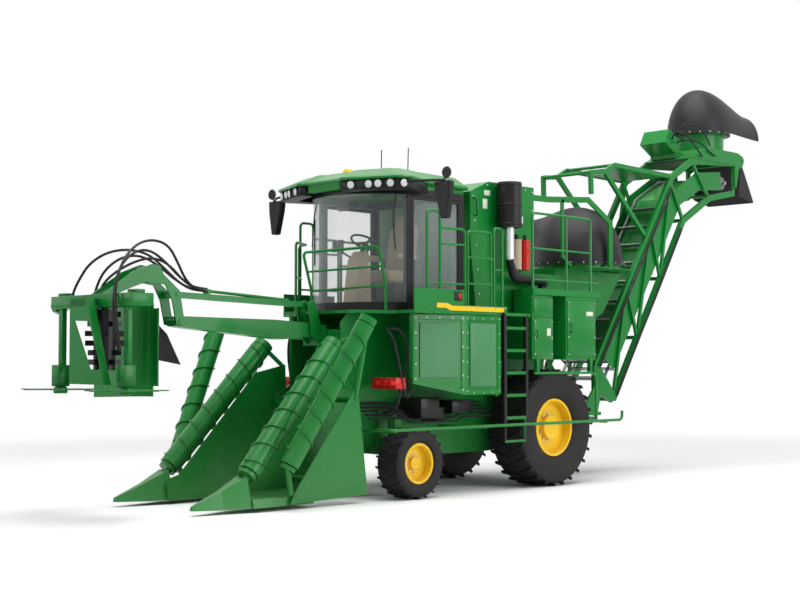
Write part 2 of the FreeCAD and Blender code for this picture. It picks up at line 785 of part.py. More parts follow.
def hood_shell(centre, radius, ring_z, top_z, reach, lip_half, lip_top, wall):
    """Extractor hood: dome over the ring that runs out to a lip, open below."""
    stations = []
    for angle in (14, 32, 50, 70, 90):
        share = math.sin(math.radians(angle))
        stations.append((centre + radius * math.cos(math.radians(angle)), radius * share,
                         ring_z + (top_z - ring_z) * share ** 0.8))
    for share in (0.25, 0.5, 0.75, 1.0):
        ease = share * share * (3 - 2 * share)
        stations.append((centre - reach * share, radius + (lip_half - radius) * ease,
                         top_z + (lip_top - top_z) * ease))
    outer = Part.makeLoft([arch(x, half, ring_z, crown) for x, half, crown in stations], True, False)
    inner_stations = [(x, half, crown) for x, half, crown in stations]
    first = inner_stations[0]
    last = inner_stations[-1]
    inner_stations[0] = (first[0] - wall, first[1], first[2])
    inner_stations[-1] = (last[0] - 20, last[1], last[2])
    inner = Part.makeLoft([arch(x, half, ring_z - 5, crown, wall) for x, half, crown in inner_stations],
                          True, False)
    return outer.cut(inner)


def primary_extractor():
    """Cleaning chamber, ring, fan and turnable hood of the primary extractor."""
    x = size("primary_x")
    radius = size("primary_radius")
    ring = size("primary_ring_z")
    wall = size("extractor_wall")
    half = size("frame_half_width")
    side_outline = [(-900, 2150), (-1450, 2150), (-2050, 2440), (-2540, 3060), (-900, 3060)]
    sheets = both(prism(side_outline, "y", half - wall, half))
    front = block(-900 - wall, -900, -half, half, 2150, 3060)
    half_plan = [(-900, 1045), (-2000, 1045), (-2700, 400)]
    deck = prism(half_plan + [(spot, -out) for spot, out in reversed(half_plan)], "z", 3060, 3060 + wall)
    deck = deck.cut(rod((x, 0, 3000), (x, 0, 3200), radius - 60))
    collar = tube((x, 0, 3060 + wall), (x, 0, ring - 44), radius - 40, radius - 60)
    seat_z = ring - 34 - size("clear")
    flange = tube((x, 0, seat_z - 12), (x, 0, seat_z), radius, radius - 60)
    spoke_z = 3060 + wall
    motor = rod((x, 0, spoke_z - 110), (x, 0, spoke_z + 16), 110)
    spokes = [block(x - radius + 50, x + radius - 50, -20, 20, spoke_z, spoke_z + 16),
              block(x - 20, x + 20, 50 - radius, radius - 50, spoke_z, spoke_z + 16)]
    spoke_trim = rod((x, 0, spoke_z - 120), (x, 0, spoke_z + 20), radius - 50)
    spider = fused([motor] + [spoke.common(spoke_trim) for spoke in spokes])
    chamber = fused(sheets + [front, deck, collar, flange])
    feature("extractor_base", chamber.fuse(spider).removeSplitter())
    fan_low = spoke_z + 16 + size("clear")
    hub = rod((x, 0, fan_low), (x, 0, fan_low + 60), 95)
    blades = []
    for step in range(4):
        blade = block(60, radius - 90, -50, 50, -4, 4)
        blade.Placement = Placement(Vector(x, 0, fan_low + 35), Rotation(Vector(0, 0, 1), 90 * step)) * Placement(
            Vector(0, 0, 0), Rotation(Vector(1, 0, 0), 25))
        blades.append(blade)
    feature("primary_fan", fused([hub] + blades))
    hood = hood_shell(x, radius, ring, size("primary_top_z"), radius + 150, 340, 3950, wall)
    base_ring = tube((x, 0, ring - 34), (x, 0, ring), radius + 20, radius - 40)
    hood = hood.fuse(base_ring)
    hood.rotate(Vector(x, 0, 0), Vector(0, 0, 1), 90)
    feature("primary_hood", hood)


def guard_hoops():
    """Tube hoops over the primary hood, footed on its deck."""
    foot = 3060 + size("extractor_wall")
    parts = []
    for side in SIDES.values():
        hoop = bent_rail([(-960, side * 1010, foot), (-960, side * 1010, 4060), (-1500, side * 1010, 4110),
                          (-1900, side * 1010, 3800), (-1900, side * 1010, foot)], 30, 120)
        parts.append(hoop)
    return parts


def handrails():
    """All the handrails and the hoops over the primary hood."""
    feature("handrails", Part.makeCompound(front_rails() + rear_rails() + guard_hoops()))


# ---------------------------------------------------------------- elevator

LOWER_CHORD = [(-2330, 1130), (-4290, 4010), (-5080, 4440), (-5850, 4590)]
UPPER_CHORD = [(-1880, 1640), (-3960, 4680), (-4560, 5010), (-5850, 5100)]


def slew_frame():
    """Turntable on the tail beam with the forks that hold the elevator's foot."""
    x = size("slew_x")
    ring = rod((x, 0, 880 + size("clear")), (x, 0, 960), size("slew_ring_radius"))
    bore = rod((x, 0, 870), (x, 0, 940), 60 + size("running_fit"))
    pin_x = size("elevator_pin_x")
    pin_z = size("elevator_pin_z")
    inner = size("elevator_half_width") + size("chord_wide") / 2.0 + 8
    fork = prism([(pin_x + 60, 880), (pin_x + 420, 960), (pin_x + 60, pin_z + 70), (pin_x - 60, pin_z + 70),
                  (pin_x - 60, pin_z - 60)], "y", inner, inner + 30)
    floor = block(pin_x - 40, x + 100, -inner - 30, inner + 30, 900, 950)
    hole = rod((pin_x, inner - 10, pin_z), (pin_x, inner + 40, pin_z),
               size("elevator_pin_radius") + size("running_fit"))
    fork = fork.cut(hole)
    feature("slew_frame", fused([ring, floor] + both(fork)).cut(bore))


def chord_bars(points, wide, deep, level):
    """Square bars end to end along a chord, at one side of the elevator."""
    bars = []
    for start, end in zip(points, points[1:]):
        bars.append(box_bar((start[0], level, start[1]), (end[0], level, end[1]), wide, deep))
    for spot in points[1:-1]:
        bars.append(rod((spot[0], level - wide / 2.0, spot[1]), (spot[0], level + wide / 2.0, spot[1]),
                        deep / 2.0))
    return bars


def along(points, share):
    """The point part of the way along one straight run."""
    (x_low, z_low), (x_high, z_high) = points
    return (x_low + (x_high - x_low) * share, z_low + (z_high - z_low) * share)


def elevator_truss():
    """Chords, struts, ties across and the foot pins of the elevator."""
    half = size("elevator_half_width")
    wide = size("chord_wide")
    deep = size("chord_deep")
    pin = (size("elevator_pin_x"), size("elevator_pin_z"))
    lower_run = LOWER_CHORD[:2]
    upper_run = UPPER_CHORD[:2]
    pieces = []
    for side in SIDES.values():
        level = side * half
        pieces += chord_bars(LOWER_CHORD, wide, deep, level)
        pieces += chord_bars(UPPER_CHORD, wide, deep, level)
        struts = [(along(lower_run, 0.0), along(upper_run, 0.0)),
                  (along(lower_run, 0.33), along(upper_run, 0.40)),
                  (along(lower_run, 0.66), along(upper_run, 0.72)),
                  (LOWER_CHORD[1], along(upper_run, 0.985)),
                  (LOWER_CHORD[2], UPPER_CHORD[2]), (LOWER_CHORD[3], UPPER_CHORD[3]),
                  (along(lower_run, 0.0), along(upper_run, 0.40)),
                  (along(lower_run, 0.33), along(upper_run, 0.72)),
                  (along(lower_run, 0.66), UPPER_CHORD[1])]
        for start, end in struts:
            pieces.append(box_bar((start[0], level, start[1]), (end[0], level, end[1]), wide - 20, 50))
        foot_plate = prism([(-1830, 1640), (-1930, 1690), (-2380, 1190), (-2280, 1080), (pin[0] - 20, pin[1] - 90),
                            (pin[0] + 70, pin[1] - 40)], "y", level - wide / 2.0, level + wide / 2.0)
        pieces.append(foot_plate)
        outside = side * (half + wide / 2.0 + 38)
        pieces.append(rod((pin[0], level, pin[1]), (pin[0], outside, pin[1]), size("elevator_pin_radius")))
    for spot in (LOWER_CHORD[0], along(lower_run, 0.33), along(lower_run, 0.66), LOWER_CHORD[1],
                 LOWER_CHORD[3], UPPER_CHORD[3]):
        pieces.append(rod((spot[0], -half, spot[1]), (spot[0], half, spot[1]), 30))
    return pieces


def offset_run(points, distance):
    """Shift a run of points sideways in the XZ plane by one distance."""
    moved = []
    for number, point in enumerate(points):
        before = points[max(number - 1, 0)]
        after = points[min(number + 1, len(points) - 1)]
        way = Vector(after[0] - before[0], 0, after[1] - before[1]).normalize()
        moved.append((point[0] + way.z * distance, point[1] - way.x * distance))
    return moved


FLOOR_RUN = [(-2110, 1480), (-4120, 4370), (-4780, 4720), (-5650, 4810)]


def elevator_floor():
    """Trough sheet that the slats drag the billets along."""
    half = size("elevator_half_width") - size("chord_wide") / 2.0
    strut_face = size("elevator_half_width") - (size("chord_wide") - 20) / 2.0
    run = [along(FLOOR_RUN[:2], 0.07)] + FLOOR_RUN[1:-1] + [along(FLOOR_RUN[-2:], 0.82)]
    under = offset_run(run, -6)
    sheet = prism(run + list(reversed(under)), "y", -half, half)
    band = prism(offset_run(run, 130) + list(reversed(offset_run(run, -170))), "y", half, strut_face)
    return [sheet] + both(band)


def elevator_chain():
    """Two drag chains with their slats: top strand on the floor, return strand under it."""
    half = size("elevator_half_width") - size("chord_wide") / 2.0
    top_run = offset_run(FLOOR_RUN, 34)
    under_run = offset_run(FLOOR_RUN, -150)
    pieces = []
    for side in SIDES.values():
        level = side * (half - 90)
        for run in (top_run, under_run):
            for start, end in zip(run, run[1:]):
                pieces.append(box_bar((start[0], level, start[1]), (end[0], level, end[1]), 30, 36))
            for spot in run[1:-1]:
                pieces.append(rod((spot[0], level - 15, spot[1]), (spot[0], level + 15, spot[1]), 18))
        for top, low in ((top_run[0], under_run[0]), (top_run[-1], under_run[-1])):
            middle = ((top[0] + low[0]) / 2.0, (top[1] + low[1]) / 2.0)
            reach = math.hypot(top[0] - low[0], top[1] - low[1]) / 2.0 + 18
            pieces.append(rod((middle[0], level - 15, middle[1]), (middle[0], level + 15, middle[1]), reach))
    for end in (0, -1):
        top, low = top_run[end], under_run[end]
        middle = ((top[0] + low[0]) / 2.0, (top[1] + low[1]) / 2.0)
        pieces.append(rod((middle[0], -half, middle[1]), (middle[0], half, middle[1]), 32))
    for run, share_count in ((top_run, 9), (under_run, 9)):
        start, end = run[0], run[1]
        way = Vector(end[0] - start[0], 0, end[1] - start[1]).normalize()
        lift_way = Vector(way.z, 0, -way.x) if run is top_run else Vector(-way.z, 0, way.x)
        for number in range(share_count):
            spot = along((start, end), (number + 0.7) / (share_count + 0.4))
            slat = Part.makeBox(16, 2 * half - 40, 70, Vector(-8, 20 - half, 0))
            slat.Placement = Placement(Vector(spot[0], 0, spot[1]), Rotation(Vector(0, 0, 1), lift_way))
            pieces.append(slat)
    feature("elevator_chain", fused(pieces))


def elevator_bridge():
    """Guard arch from the elevator's shoulder forward over the primary hood."""
    half = size("elevator_half_width")
    wide = 50
    pieces = []
    for side in SIDES.values():
        level = side * (half + 5)
        run = [(-1810, 4230), (-1800, 4560), (-2150, 4600), (-2400, 4730), (-3900, 4700)]
        pieces += chord_bars(run, wide, 70, level)
        pieces += chord_bars([(-2160, 4600), (-3190, 3700)], wide, 70, level)
    for spot in (run[1], run[3]):
        pieces.append(rod((spot[0], -half, spot[1]), (spot[0], half, spot[1]), 25))
    mesh = prism([(-2500, 4700), (-3850, 4680), (-3850, 4690), (-2500, 4710)], "y", 20 - half, half - 20)
    return pieces + [mesh]


def elevator_frame():
    """The elevator's welded frame: truss, trough sheet and guard arch."""
    feature("elevator_frame", fused(elevator_truss() + elevator_floor() + elevator_bridge()))


def secondary_extractor():
    """Secondary chamber, fan and hood on the elevator's head."""
    x = size("secondary_x")
    radius = size("secondary_radius")
    ring = size("secondary_ring_z")
    wall = size("extractor_wall")
    half = size("elevator_half_width") + size("chord_wide") / 2.0
    side_outline = [(-4560, 5068), (-5050, 5290), (-5960, 5290), (-6130, 5230), (-6150, 5160), (-6120, 5090),
                    (-5990, 5020), (-5900, 4690), (-5850, 4690), (-5850, 5060)]
    cheek = prism(side_outline, "y", half, half + wall)
    hinge_x = size("flap_hinge_x")
    hinge_z = size("flap_hinge_z")
    hinge = rod((hinge_x, half - 5, hinge_z), (hinge_x, half + 20, hinge_z),
                size("flap_pin_radius") + size("running_fit"))
    cheeks = both(cheek.cut(hinge))
    deck = block(-5960, -5050, -half, half, 5290 - wall, 5290)
    deck = deck.cut(rod((x, 0, 5200), (x, 0, 5400), radius - wall))
    seat_z = ring - 36 - size("clear")
    drum = tube((x, 0, 5290 - wall), (x, 0, seat_z), radius, radius - wall)
    flange = tube((x, 0, seat_z - 12), (x, 0, seat_z), radius + 70, radius - wall)
    spokes = [block(x - radius + 5, x + radius - 5, -15, 15, 5330, 5350),
              block(x - 15, x + 15, 5 - radius, radius - 5, 5330, 5350)]
    motor = rod((x, 0, 5330), (x, 0, 5420), 80)
    nose = prism([(-4560, 5078), (-5050, 5290), (-5050, 5278), (-4560, 5064)], "y", -half, half)
    motor_box = prism([(-4600, 5150), (-4250, 5330), (-4380, 5560), (-4730, 5380)], "y", -350, 150)
    tie = block(-4760, -4560, -350, 150, 5100, 5200)
    chamber = fused(cheeks + [deck, drum, flange, motor, nose, motor_box, tie] + spokes)
    feature("secondary_chamber", chamber)
    hub = rod((x, 0, 5420 + size("clear")), (x, 0, 5500), 75)
    blades = []
    for step in range(4):
        blade = block(50, radius - 30, -50, 50, -4, 4)
        blade.Placement = Placement(Vector(x, 0, 5460), Rotation(Vector(0, 0, 1), 90 * step)) * Placement(
            Vector(0, 0, 0), Rotation(Vector(1, 0, 0), 25))
        blades.append(blade)
    feature("secondary_fan", fused([hub] + blades))
    hood = hood_shell(x, radius + 90, ring, size("secondary_top_z"), 1330, 400, 6080, wall)
    base_ring = tube((x, 0, ring - 36), (x, 0, ring), radius + 110, radius - 10)
    feature("secondary_hood", hood.fuse(base_ring))


def bin_flap():
    """Hinged flap that steers the billets at the elevator's end."""
    half = size("elevator_half_width")
    hinge = (size("flap_hinge_x"), size("flap_hinge_z"))
    blade = prism([(hinge[0], hinge[1]), (hinge[0] - 25, hinge[1] + 15), (hinge[0] - 445, hinge[1] - 670),
                   (hinge[0] - 420, hinge[1] - 685)], "y", -half, half)
    wings = [prism([(hinge[0], hinge[1]), (hinge[0] - 430, hinge[1] - 678), (hinge[0] + 50, hinge[1] - 600)],
                   "y", side * half - 6, side * half + 6) for side in SIDES.values()]
    tube_bar = rod((hinge[0], -half - 6, hinge[1]), (hinge[0], half + 6, hinge[1]), 28)
    reach = half + size("chord_wide") / 2.0 + size("extractor_wall")
    pin = rod((hinge[0], -reach, hinge[1]), (hinge[0], reach, hinge[1]), size("flap_pin_radius"))
    feature("bin_flap", fused([blade, tube_bar, pin] + wings))


# ---------------------------------------------------------------- topper

def topper_boom():
    """Lower boom beam: two eyes and a tapered box between them."""
    root = (size("boom_root_x"), size("boom_root_z"))
    tip = (size("boom_tip_x"), size("boom_tip_z"))
    eye = size("boom_pin_radius") + size("running_fit")
    beam = prism([(root[0], root[1] - 90), (root[0] + 500, root[1] - 130), (tip[0] - 60, tip[1] - 70),
                  (tip[0], tip[1] - 60), (tip[0], tip[1] + 60), (root[0] + 600, root[1] + 110),
                  (root[0], root[1] + 80)], "y", -90, 90)
    beam = fused([beam, rod((root[0], -90, root[1]), (root[0], 90, root[1]), 85),
                  rod((tip[0], -90, tip[1]), (tip[0], 90, tip[1]), 60)])
    for spot in (root, tip):
        beam = beam.cut(rod((spot[0], -100, spot[1]), (spot[0], 100, spot[1]), eye))
    feature("topper_boom", beam)


def link_tip():
    """The upper link's tip, which keeps the linkage a parallelogram."""
    return (size("boom_tip_x") + size("link_root_x") - size("boom_root_x"),
            size("boom_tip_z") + size("link_root_z") - size("boom_root_z"))


def topper_link():
    """Upper link over the boom with its pair of oil pipes."""
    root = (size("link_root_x"), size("link_root_z"))
    tip = link_tip()
    eye = 0.7 * size("boom_pin_radius") + size("running_fit")
    bar = box_bar((root[0], 0, root[1]), (tip[0], 0, tip[1]), 90, 70)
    link = fused([bar, rod((root[0], -45, root[1]), (root[0], 45, root[1]), 48),
                  rod((tip[0], -45, tip[1]), (tip[0], 45, tip[1]), 48)])
    for spot in (root, tip):
        link = link.cut(rod((spot[0], -60, spot[1]), (spot[0], 60, spot[1]), eye))
    pipes = [rod((root[0] + 300, side * 30, root[1] + 50), (tip[0] - 450, side * 30, tip[1] + 62), 16)
             for side in SIDES.values()]
    clamps = [block(x - 20, x + 20, -50, 50, z + 20, z + 75)
              for x, z in ((root[0] + 360, root[1] - 10), (tip[0] - 520, tip[1] + 2))]
    feature("topper_link", fused([link] + pipes + clamps))


def topper_head():
    """Topper head: hanger, cross beam, curved deflector and the drum cheeks."""
    boom = (size("boom_tip_x"), size("boom_tip_z"))
    link = link_tip()
    pins = [rod((boom[0], -125, boom[1]), (boom[0], 125, boom[1]), size("boom_pin_radius")),
            rod((link[0], -125, link[1]), (link[0], 125, link[1]), 0.7 * size("boom_pin_radius"))]
    outline = [(boom[0] - 50, boom[1] - 60), (boom[0] + 60, boom[1] - 60), (boom[0] + 330, 2330),
               (boom[0] + 330, 2520), (link[0] - 20, link[1] + 60), (link[0] - 60, link[1])]
    hangers = both(prism(outline, "y", 105, 125))
    beam = block(boom[0] + 310, boom[0] + 1000, -130, 130, 2380, 2500)
    cross = block(6420, 6560, -780, 780, 2280, 2400)
    neck = block(6420, 6560, -130, 130, 2380, 2410)
    arc_out = [Vector(5700, 0, 1700), Vector(6150, 0, 1950), Vector(6250, 0, 2380)]
    arc_in = [Vector(6262, 0, 2380), Vector(6160, 0, 1943), Vector(5700, 0, 1686)]
    edges = [Part.Arc(*arc_out).toShape(), Part.makeLine(arc_out[-1], arc_in[0]),
             Part.Arc(*arc_in).toShape(), Part.makeLine(arc_in[-1], arc_out[0])]
    deflector = Part.Face(Part.Wire(edges))
    deflector.translate(Vector(0, -480, 0))
    deflector = deflector.extrude(Vector(0, 960, 0))
    cheeks = both(prism([(6250, 2400), (6560, 2400), (6480, 1560), (6320, 1560), (5900, 1750), (6190, 2000)],
                        "y", 480, 492))
    parts = hangers + pins + [beam, cross, neck, deflector] + cheeks
    for side in SIDES.values():
        plate = prism([(6420, 2400), (6760, 2400), (6720, 1500), (6380, 1500)], "y",
                      min(side * 768, side * 780), max(side * 768, side * 780))
        shelf = block(6420, 6740, min(side * 492, side * 780), max(side * 492, side * 780), 2388, 2400)
        hub = rod((GATHERER["x"], side * GATHERER["y"], 2400), (GATHERER["x"], side * GATHERER["y"], 2200), 30)
        parts += [plate, shelf, hub]
    parts.append(rod((6500, 0, 2145), (6500, 0, 2300), 40))
    feature("topper_head", fused(parts))


GATHERER = {"x": 6650, "y": 640, "low": 1440, "high": 2330}


def star_plate(radius, points, thick):
    """Gathering star: a plate with hooked teeth round its rim."""
    spots = []
    for number in range(points):
        angle = 2 * math.pi * number / points
        half_step = math.pi / points
        spots.append((0.72 * radius * math.cos(angle - half_step), 0.72 * radius * math.sin(angle - half_step)))
        spots.append((radius * math.cos(angle), radius * math.sin(angle)))
    return prism(spots, "z", 0, thick)


def gatherers():
    """Gathering drums at both sides of the topper with their star plates."""
    for word, side in SIDES.items():
        centre = Vector(GATHERER["x"], side * GATHERER["y"], 0)
        low = GATHERER["low"]
        high = GATHERER["high"]
        star = star_plate(510, 8, 14)
        star.translate(centre + Vector(0, 0, low - 60))
        drum = Part.makeCylinder(75, high - low + 50, centre + Vector(0, 0, low - 50))
        parts = [star, drum]
        for number in range(6):
            vane = block(60, 115, -5, 5, low, high - 70)
            vane.Placement = Placement(centre, Rotation(Vector(0, 0, 1), 60 * number))
            parts.append(vane)
        bore = Part.makeCylinder(30 + size("running_fit"), 200, centre + Vector(0, 0, 2190))
        feature("gatherer_" + word, fused(parts).cut(bore))


def topper_drum():
    """Shredder drum on its upright shaft, with toothed blades in rows."""
    x, low, high = 6500, 1600, 2270
    parts = [rod((x, 0, low), (x, 0, high), 120)]
    for row_number in range(6):
        level = low + 60 + row_number * 105
        for blade_number in range(4):
            blade = block(100, 215, -6, 6, 0, 60)
            blade.Placement = Placement(Vector(x, 0, level),
                                        Rotation(Vector(0, 0, 1), 90 * blade_number + 22 * row_number))
            parts.append(blade)
    drum = fused(parts)
    drum = drum.cut(rod((x, 0, high - 130), (x, 0, high + 10), 40 + size("running_fit")))
    feature("topper_drum", drum)


# ---------------------------------------------------------------- crop dividers

INNER_FOOT = (5060, 748, 440)
INNER_TOP = (3720, 660, 1860)
OUTER_FOOT = (4720, 1060, 520)
OUTER_TOP = (3840, 1395, 2130)


def dividers():
    """Crop divider of each side: shoe, inner and outer sheets, cross tubes and scroll carriers."""
    pivot = (size("divider_pivot_x"), size("divider_pivot_z"))
    inner_sheet = prism([(5250, 70), (5250, 300), (5080, 350), (3900, 1560), (3420, 1660), (3380, 1000),
                         (3360, 830), (4100, 110)], "y", 520, 535)
    outer_sheet = prism([(4650, 65), (4560, 220), (3640, 1350), (3560, 1250), (3420, 100)], "y", 985, 997)
    shoe_nose = Part.makeLoft([
        Part.makePolygon([Vector(5851, 700, 60), Vector(5851, 774, 60), Vector(5851, 752, 112),
                          Vector(5851, 722, 112), Vector(5851, 700, 60)]),
        Part.makePolygon([Vector(5480, 610, 50), Vector(5480, 850, 50), Vector(5480, 780, 250),
                          Vector(5480, 700, 250), Vector(5480, 610, 50)]),
        Part.makePolygon([Vector(5150, 520, 50), Vector(5150, 930, 50), Vector(5150, 830, 400),
                          Vector(5150, 640, 400), Vector(5150, 520, 50)]),
    ], True, True)
    shoe_box = prism([(520, 50), (960, 50), (930, 150), (535, 200)], "x", 4250, 5150)
    parts = [inner_sheet, outer_sheet, shoe_nose, shoe_box]
    for spot in ((3700, 420), (3620, 1240), (4250, 320)):
        parts.append(rod((spot[0], 525, spot[1]), (spot[0], 990, spot[1]), 38))
    boss = rod((pivot[0], 500, pivot[1]), (pivot[0], 620, pivot[1]), 75)
    parts.append(boss)
    axis_in = (Vector(*INNER_TOP) - Vector(*INNER_FOOT)).normalize()
    axis_out = (Vector(*OUTER_TOP) - Vector(*OUTER_FOOT)).normalize()
    for foot, top, axis, radius in ((INNER_FOOT, INNER_TOP, axis_in, size("inner_scroll_radius")),
                                    (OUTER_FOOT, OUTER_TOP, axis_out, size("outer_scroll_radius"))):
        foot = Vector(*foot)
        top = Vector(*top)
        parts.append(rod(foot - axis * 60, foot + axis * 60, 30))
        parts.append(rod(foot - axis * 60, foot - axis * 12, radius - 20))
        parts.append(rod(top - axis * 60, top + axis * 90, 30))
        parts.append(rod(top + axis * 12, top + axis * 90, radius - 6))
    foot_in = Vector(*INNER_FOOT) - axis_in * 30
    foot_out = Vector(*OUTER_FOOT) - axis_out * 40
    top_in = Vector(*INNER_TOP) + axis_in * 50
    top_out = Vector(*OUTER_TOP) + axis_out * 50
    parts.append(rod(foot_in, (5100, 748, 340), 40))
    parts.append(rod(foot_out, (4640, 990, 180), 35))
    post_top = (3430, 990, 2050)
    parts.append(rod(top_in, post_top, 32))
    parts.append(rod(top_out, post_top, 32))
    parts.append(Part.makeSphere(32, Vector(*post_top)))
    parts.append(rod(post_top, (3620, 990, 1240), 32))
    parts.append(rod(top_in, (3430, 528, 1620), 28))
    divider = fused(parts)
    divider = divider.cut(rod((pivot[0], 480, pivot[1]), (pivot[0], 640, pivot[1]),
                              size("divider_pin_radius") + size("running_fit")))
    for word, side in SIDES.items():
        feature("divider_" + word, divider if side > 0 else mirrored(divider))


def divider_pins():
    """Cross pins on the frame's nose that carry the dividers."""
    pivot = (size("divider_pivot_x"), size("divider_pivot_z"))
    outside = size("frame_half_width")
    lug = prism([(3380, 620), (pivot[0], pivot[1] - 60), (pivot[0] + 60, pivot[1]), (pivot[0], pivot[1] + 60),
                 (3380, 1090)], "y", outside - 20, outside)
    pin = rod((pivot[0], outside - 20, pivot[1]), (pivot[0], 625, pivot[1]), size("divider_pin_radius"))
    return both(lug) + both(pin)


def flighting(radius, length, bar, pitch, turns, hand):
    """Square bar wound round a scroll tube."""
    helix = Part.makeHelix(pitch, pitch * turns, radius + bar * 0.4, 0, hand < 0)
    start = Vector(radius + bar * 0.4, 0, 0)
    square = Part.makePolygon([start + Vector(-bar / 2, 0, -bar / 2), start + Vector(bar, 0, -bar / 2),
                               start + Vector(bar, 0, bar / 2), start + Vector(-bar / 2, 0, bar / 2),
                               start + Vector(-bar / 2, 0, -bar / 2)])
    winding = Part.Wire(helix).makePipeShell([square], True, True)
    winding.translate(Vector(0, 0, (length - pitch * turns) / 2.0))
    return winding


def scroll(label, foot, top, radius, hand, side):
    """Scroll: tube with end bores and its wound flighting, turning on two fixed pins."""
    foot = Vector(foot[0], side * foot[1], foot[2])
    top = Vector(top[0], side * top[1], top[2])
    length = (top - foot).Length
    bar = size("flight_bar")
    pitch = size("flight_pitch")
    turns = int((length - 80) / pitch)
    drum = Part.makeCylinder(radius, length)
    bore = 30 + size("running_fit")
    drum = drum.cut(Part.makeCylinder(bore, 65, Vector(0, 0, -1)))
    drum = drum.cut(Part.makeCylinder(bore, 66, Vector(0, 0, length - 65)))
    whole = drum.fuse(flighting(radius, length, bar, pitch, turns, hand))
    thing = DOC.addObject("Part::Feature", label)
    thing.Label = label
    thing.Shape = whole
    thing.Placement = Placement(foot + Vector(X0, 0, 0), Rotation(Vector(0, 0, 1), top - foot))
    PARTS.append(thing)


def scrolls():
    """Inner and outer scroll of each divider, wound opposite ways left and right."""
    for word, side in SIDES.items():
        scroll("inner_scroll_" + word, INNER_FOOT, INNER_TOP, size("inner_scroll_radius"), side, side)
        scroll("outer_scroll_" + word, OUTER_FOOT, OUTER_TOP, size("outer_scroll_radius"), -side, side)


# ---------------------------------------------------------------- base cutters and roller

def base_cutters():
    """Contra-rotating cutter discs on tube legs, with bolted blades."""
    x = size("basecutter_x")
    for word, side in SIDES.items():
        centre = Vector(x, side * size("basecutter_y"), 0)
        leg = Part.makeCylinder(80, 415, centre + Vector(0, 0, 140))
        disc = Part.makeCylinder(size("basecutter_disc_radius"), 14, centre + Vector(0, 0, 130))
        bore = Part.makeCylinder(40 + size("running_fit"), 260, centre + Vector(0, 0, 295))
        blades = []
        for number in range(5):
            blade = block(120, size("basecutter_reach"), -45, 45, 0, 8)
            blade.Placement = Placement(centre + Vector(0, 0, 122), Rotation(Vector(0, 0, 1), 72 * number))
            blades.append(blade)
        feature("base_cutter_" + word, fused([leg, disc] + blades).cut(bore))


def knockdown_roller():
    """Finned roller across the throat that lays the cane down."""
    inside = size("frame_half_width") - size("frame_plate")
    x = size("roller_x")
    z = size("roller_z")
    half = inside - 12
    drum = rod((x, -half, z), (x, half, z), size("roller_radius") - 35)
    parts = [drum]
    for number in range(8):
        fin = block(60, size("roller_radius"), 30 - half, half - 30, -5, 5)
        fin.Placement = Placement(Vector(x, 0, z), Rotation(Vector(0, 1, 0), 45 * number))
        parts.append(fin)
    roller = fused(parts)
    for side in SIDES.values():
        roller = roller.cut(rod((x, side * (half + 5), z), (x, side * (inside - 65), z),
                                25 + size("running_fit")))
    feature("knockdown_roller", roller)


# ---------------------------------------------------------------- build and write

def build():
    """Make every sub-part, check them and write their files."""
    wheels()
    final_drives()
    front_legs()
    knuckles()
    chassis_frame()
    tow_tongue()
    decks()
    cabinets()
    engine()
    engine_hood()
    side_doors()
    ladder()
    low_rails()
    tanks()
    cab_frame()
    cab_glass()
    cab_doors()
    cab_roof()
    roof_lamps()
    seat()
    steering_column()
    mirrors()
    handrails()
    air_intake()
    bottles()
    primary_extractor()
    slew_frame()
    elevator_frame()
    elevator_chain()
    secondary_extractor()
    bin_flap()
    topper_boom()
    topper_link()
    topper_head()
    gatherers()
    topper_drum()
    dividers()
    scrolls()
    base_cutters()
    knockdown_roller()
    DOC.recompute()
    check_parts()
    write_parts()


def check_parts():
    """Stop if anything in the document failed or came out empty."""
    for thing in DOC.Objects:
        if "Invalid" in thing.State or "Error" in thing.State:
            raise RuntimeError("failed: " + thing.Label)
    for thing in PARTS:
        if thing.Shape.isNull() or not thing.Shape.isValid():
            raise RuntimeError("bad shape: " + thing.Label)


def write_parts():
    """Write each sub-part to its own file."""
    os.makedirs("parts", exist_ok=True)
    for thing in PARTS:
        thing.Shape.exportStep(os.path.join("parts", thing.Label + ".step"))
    print(len(PARTS), "sub-parts written")


build()
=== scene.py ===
# %% [markdown]
# # Dressing a sugarcane harvester
# The frame of the machine comes from its solid model: walls, wheels, cab, elevator.
# This lesson gives that frame its paint, rubber, glass and small fittings.
# Everything is in metres: +X is the way it drives, +Y its left side, +Z up.

# %% Load the frame
import math

import bmesh
import bpy
from mathutils import Matrix, Vector


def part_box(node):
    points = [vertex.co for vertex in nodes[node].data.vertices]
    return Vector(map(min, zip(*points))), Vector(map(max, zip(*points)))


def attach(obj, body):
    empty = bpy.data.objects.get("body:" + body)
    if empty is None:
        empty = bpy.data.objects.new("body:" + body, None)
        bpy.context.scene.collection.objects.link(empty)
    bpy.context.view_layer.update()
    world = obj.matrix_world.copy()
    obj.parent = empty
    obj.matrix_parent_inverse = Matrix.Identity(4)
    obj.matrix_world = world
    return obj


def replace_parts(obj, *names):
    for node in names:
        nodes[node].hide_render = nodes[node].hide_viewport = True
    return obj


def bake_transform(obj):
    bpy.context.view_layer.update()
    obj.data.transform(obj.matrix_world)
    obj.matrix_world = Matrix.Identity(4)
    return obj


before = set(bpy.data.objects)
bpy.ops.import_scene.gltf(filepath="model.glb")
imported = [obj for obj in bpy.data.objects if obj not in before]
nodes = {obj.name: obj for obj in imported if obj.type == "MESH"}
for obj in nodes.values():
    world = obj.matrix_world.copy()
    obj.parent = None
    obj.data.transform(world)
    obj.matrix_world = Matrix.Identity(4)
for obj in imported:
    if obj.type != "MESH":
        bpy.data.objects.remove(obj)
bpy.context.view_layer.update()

# %% [markdown]
# The rear axle is the best place to measure from, because every part of the machine
# was laid out about it. The wheel's own box says where it is.

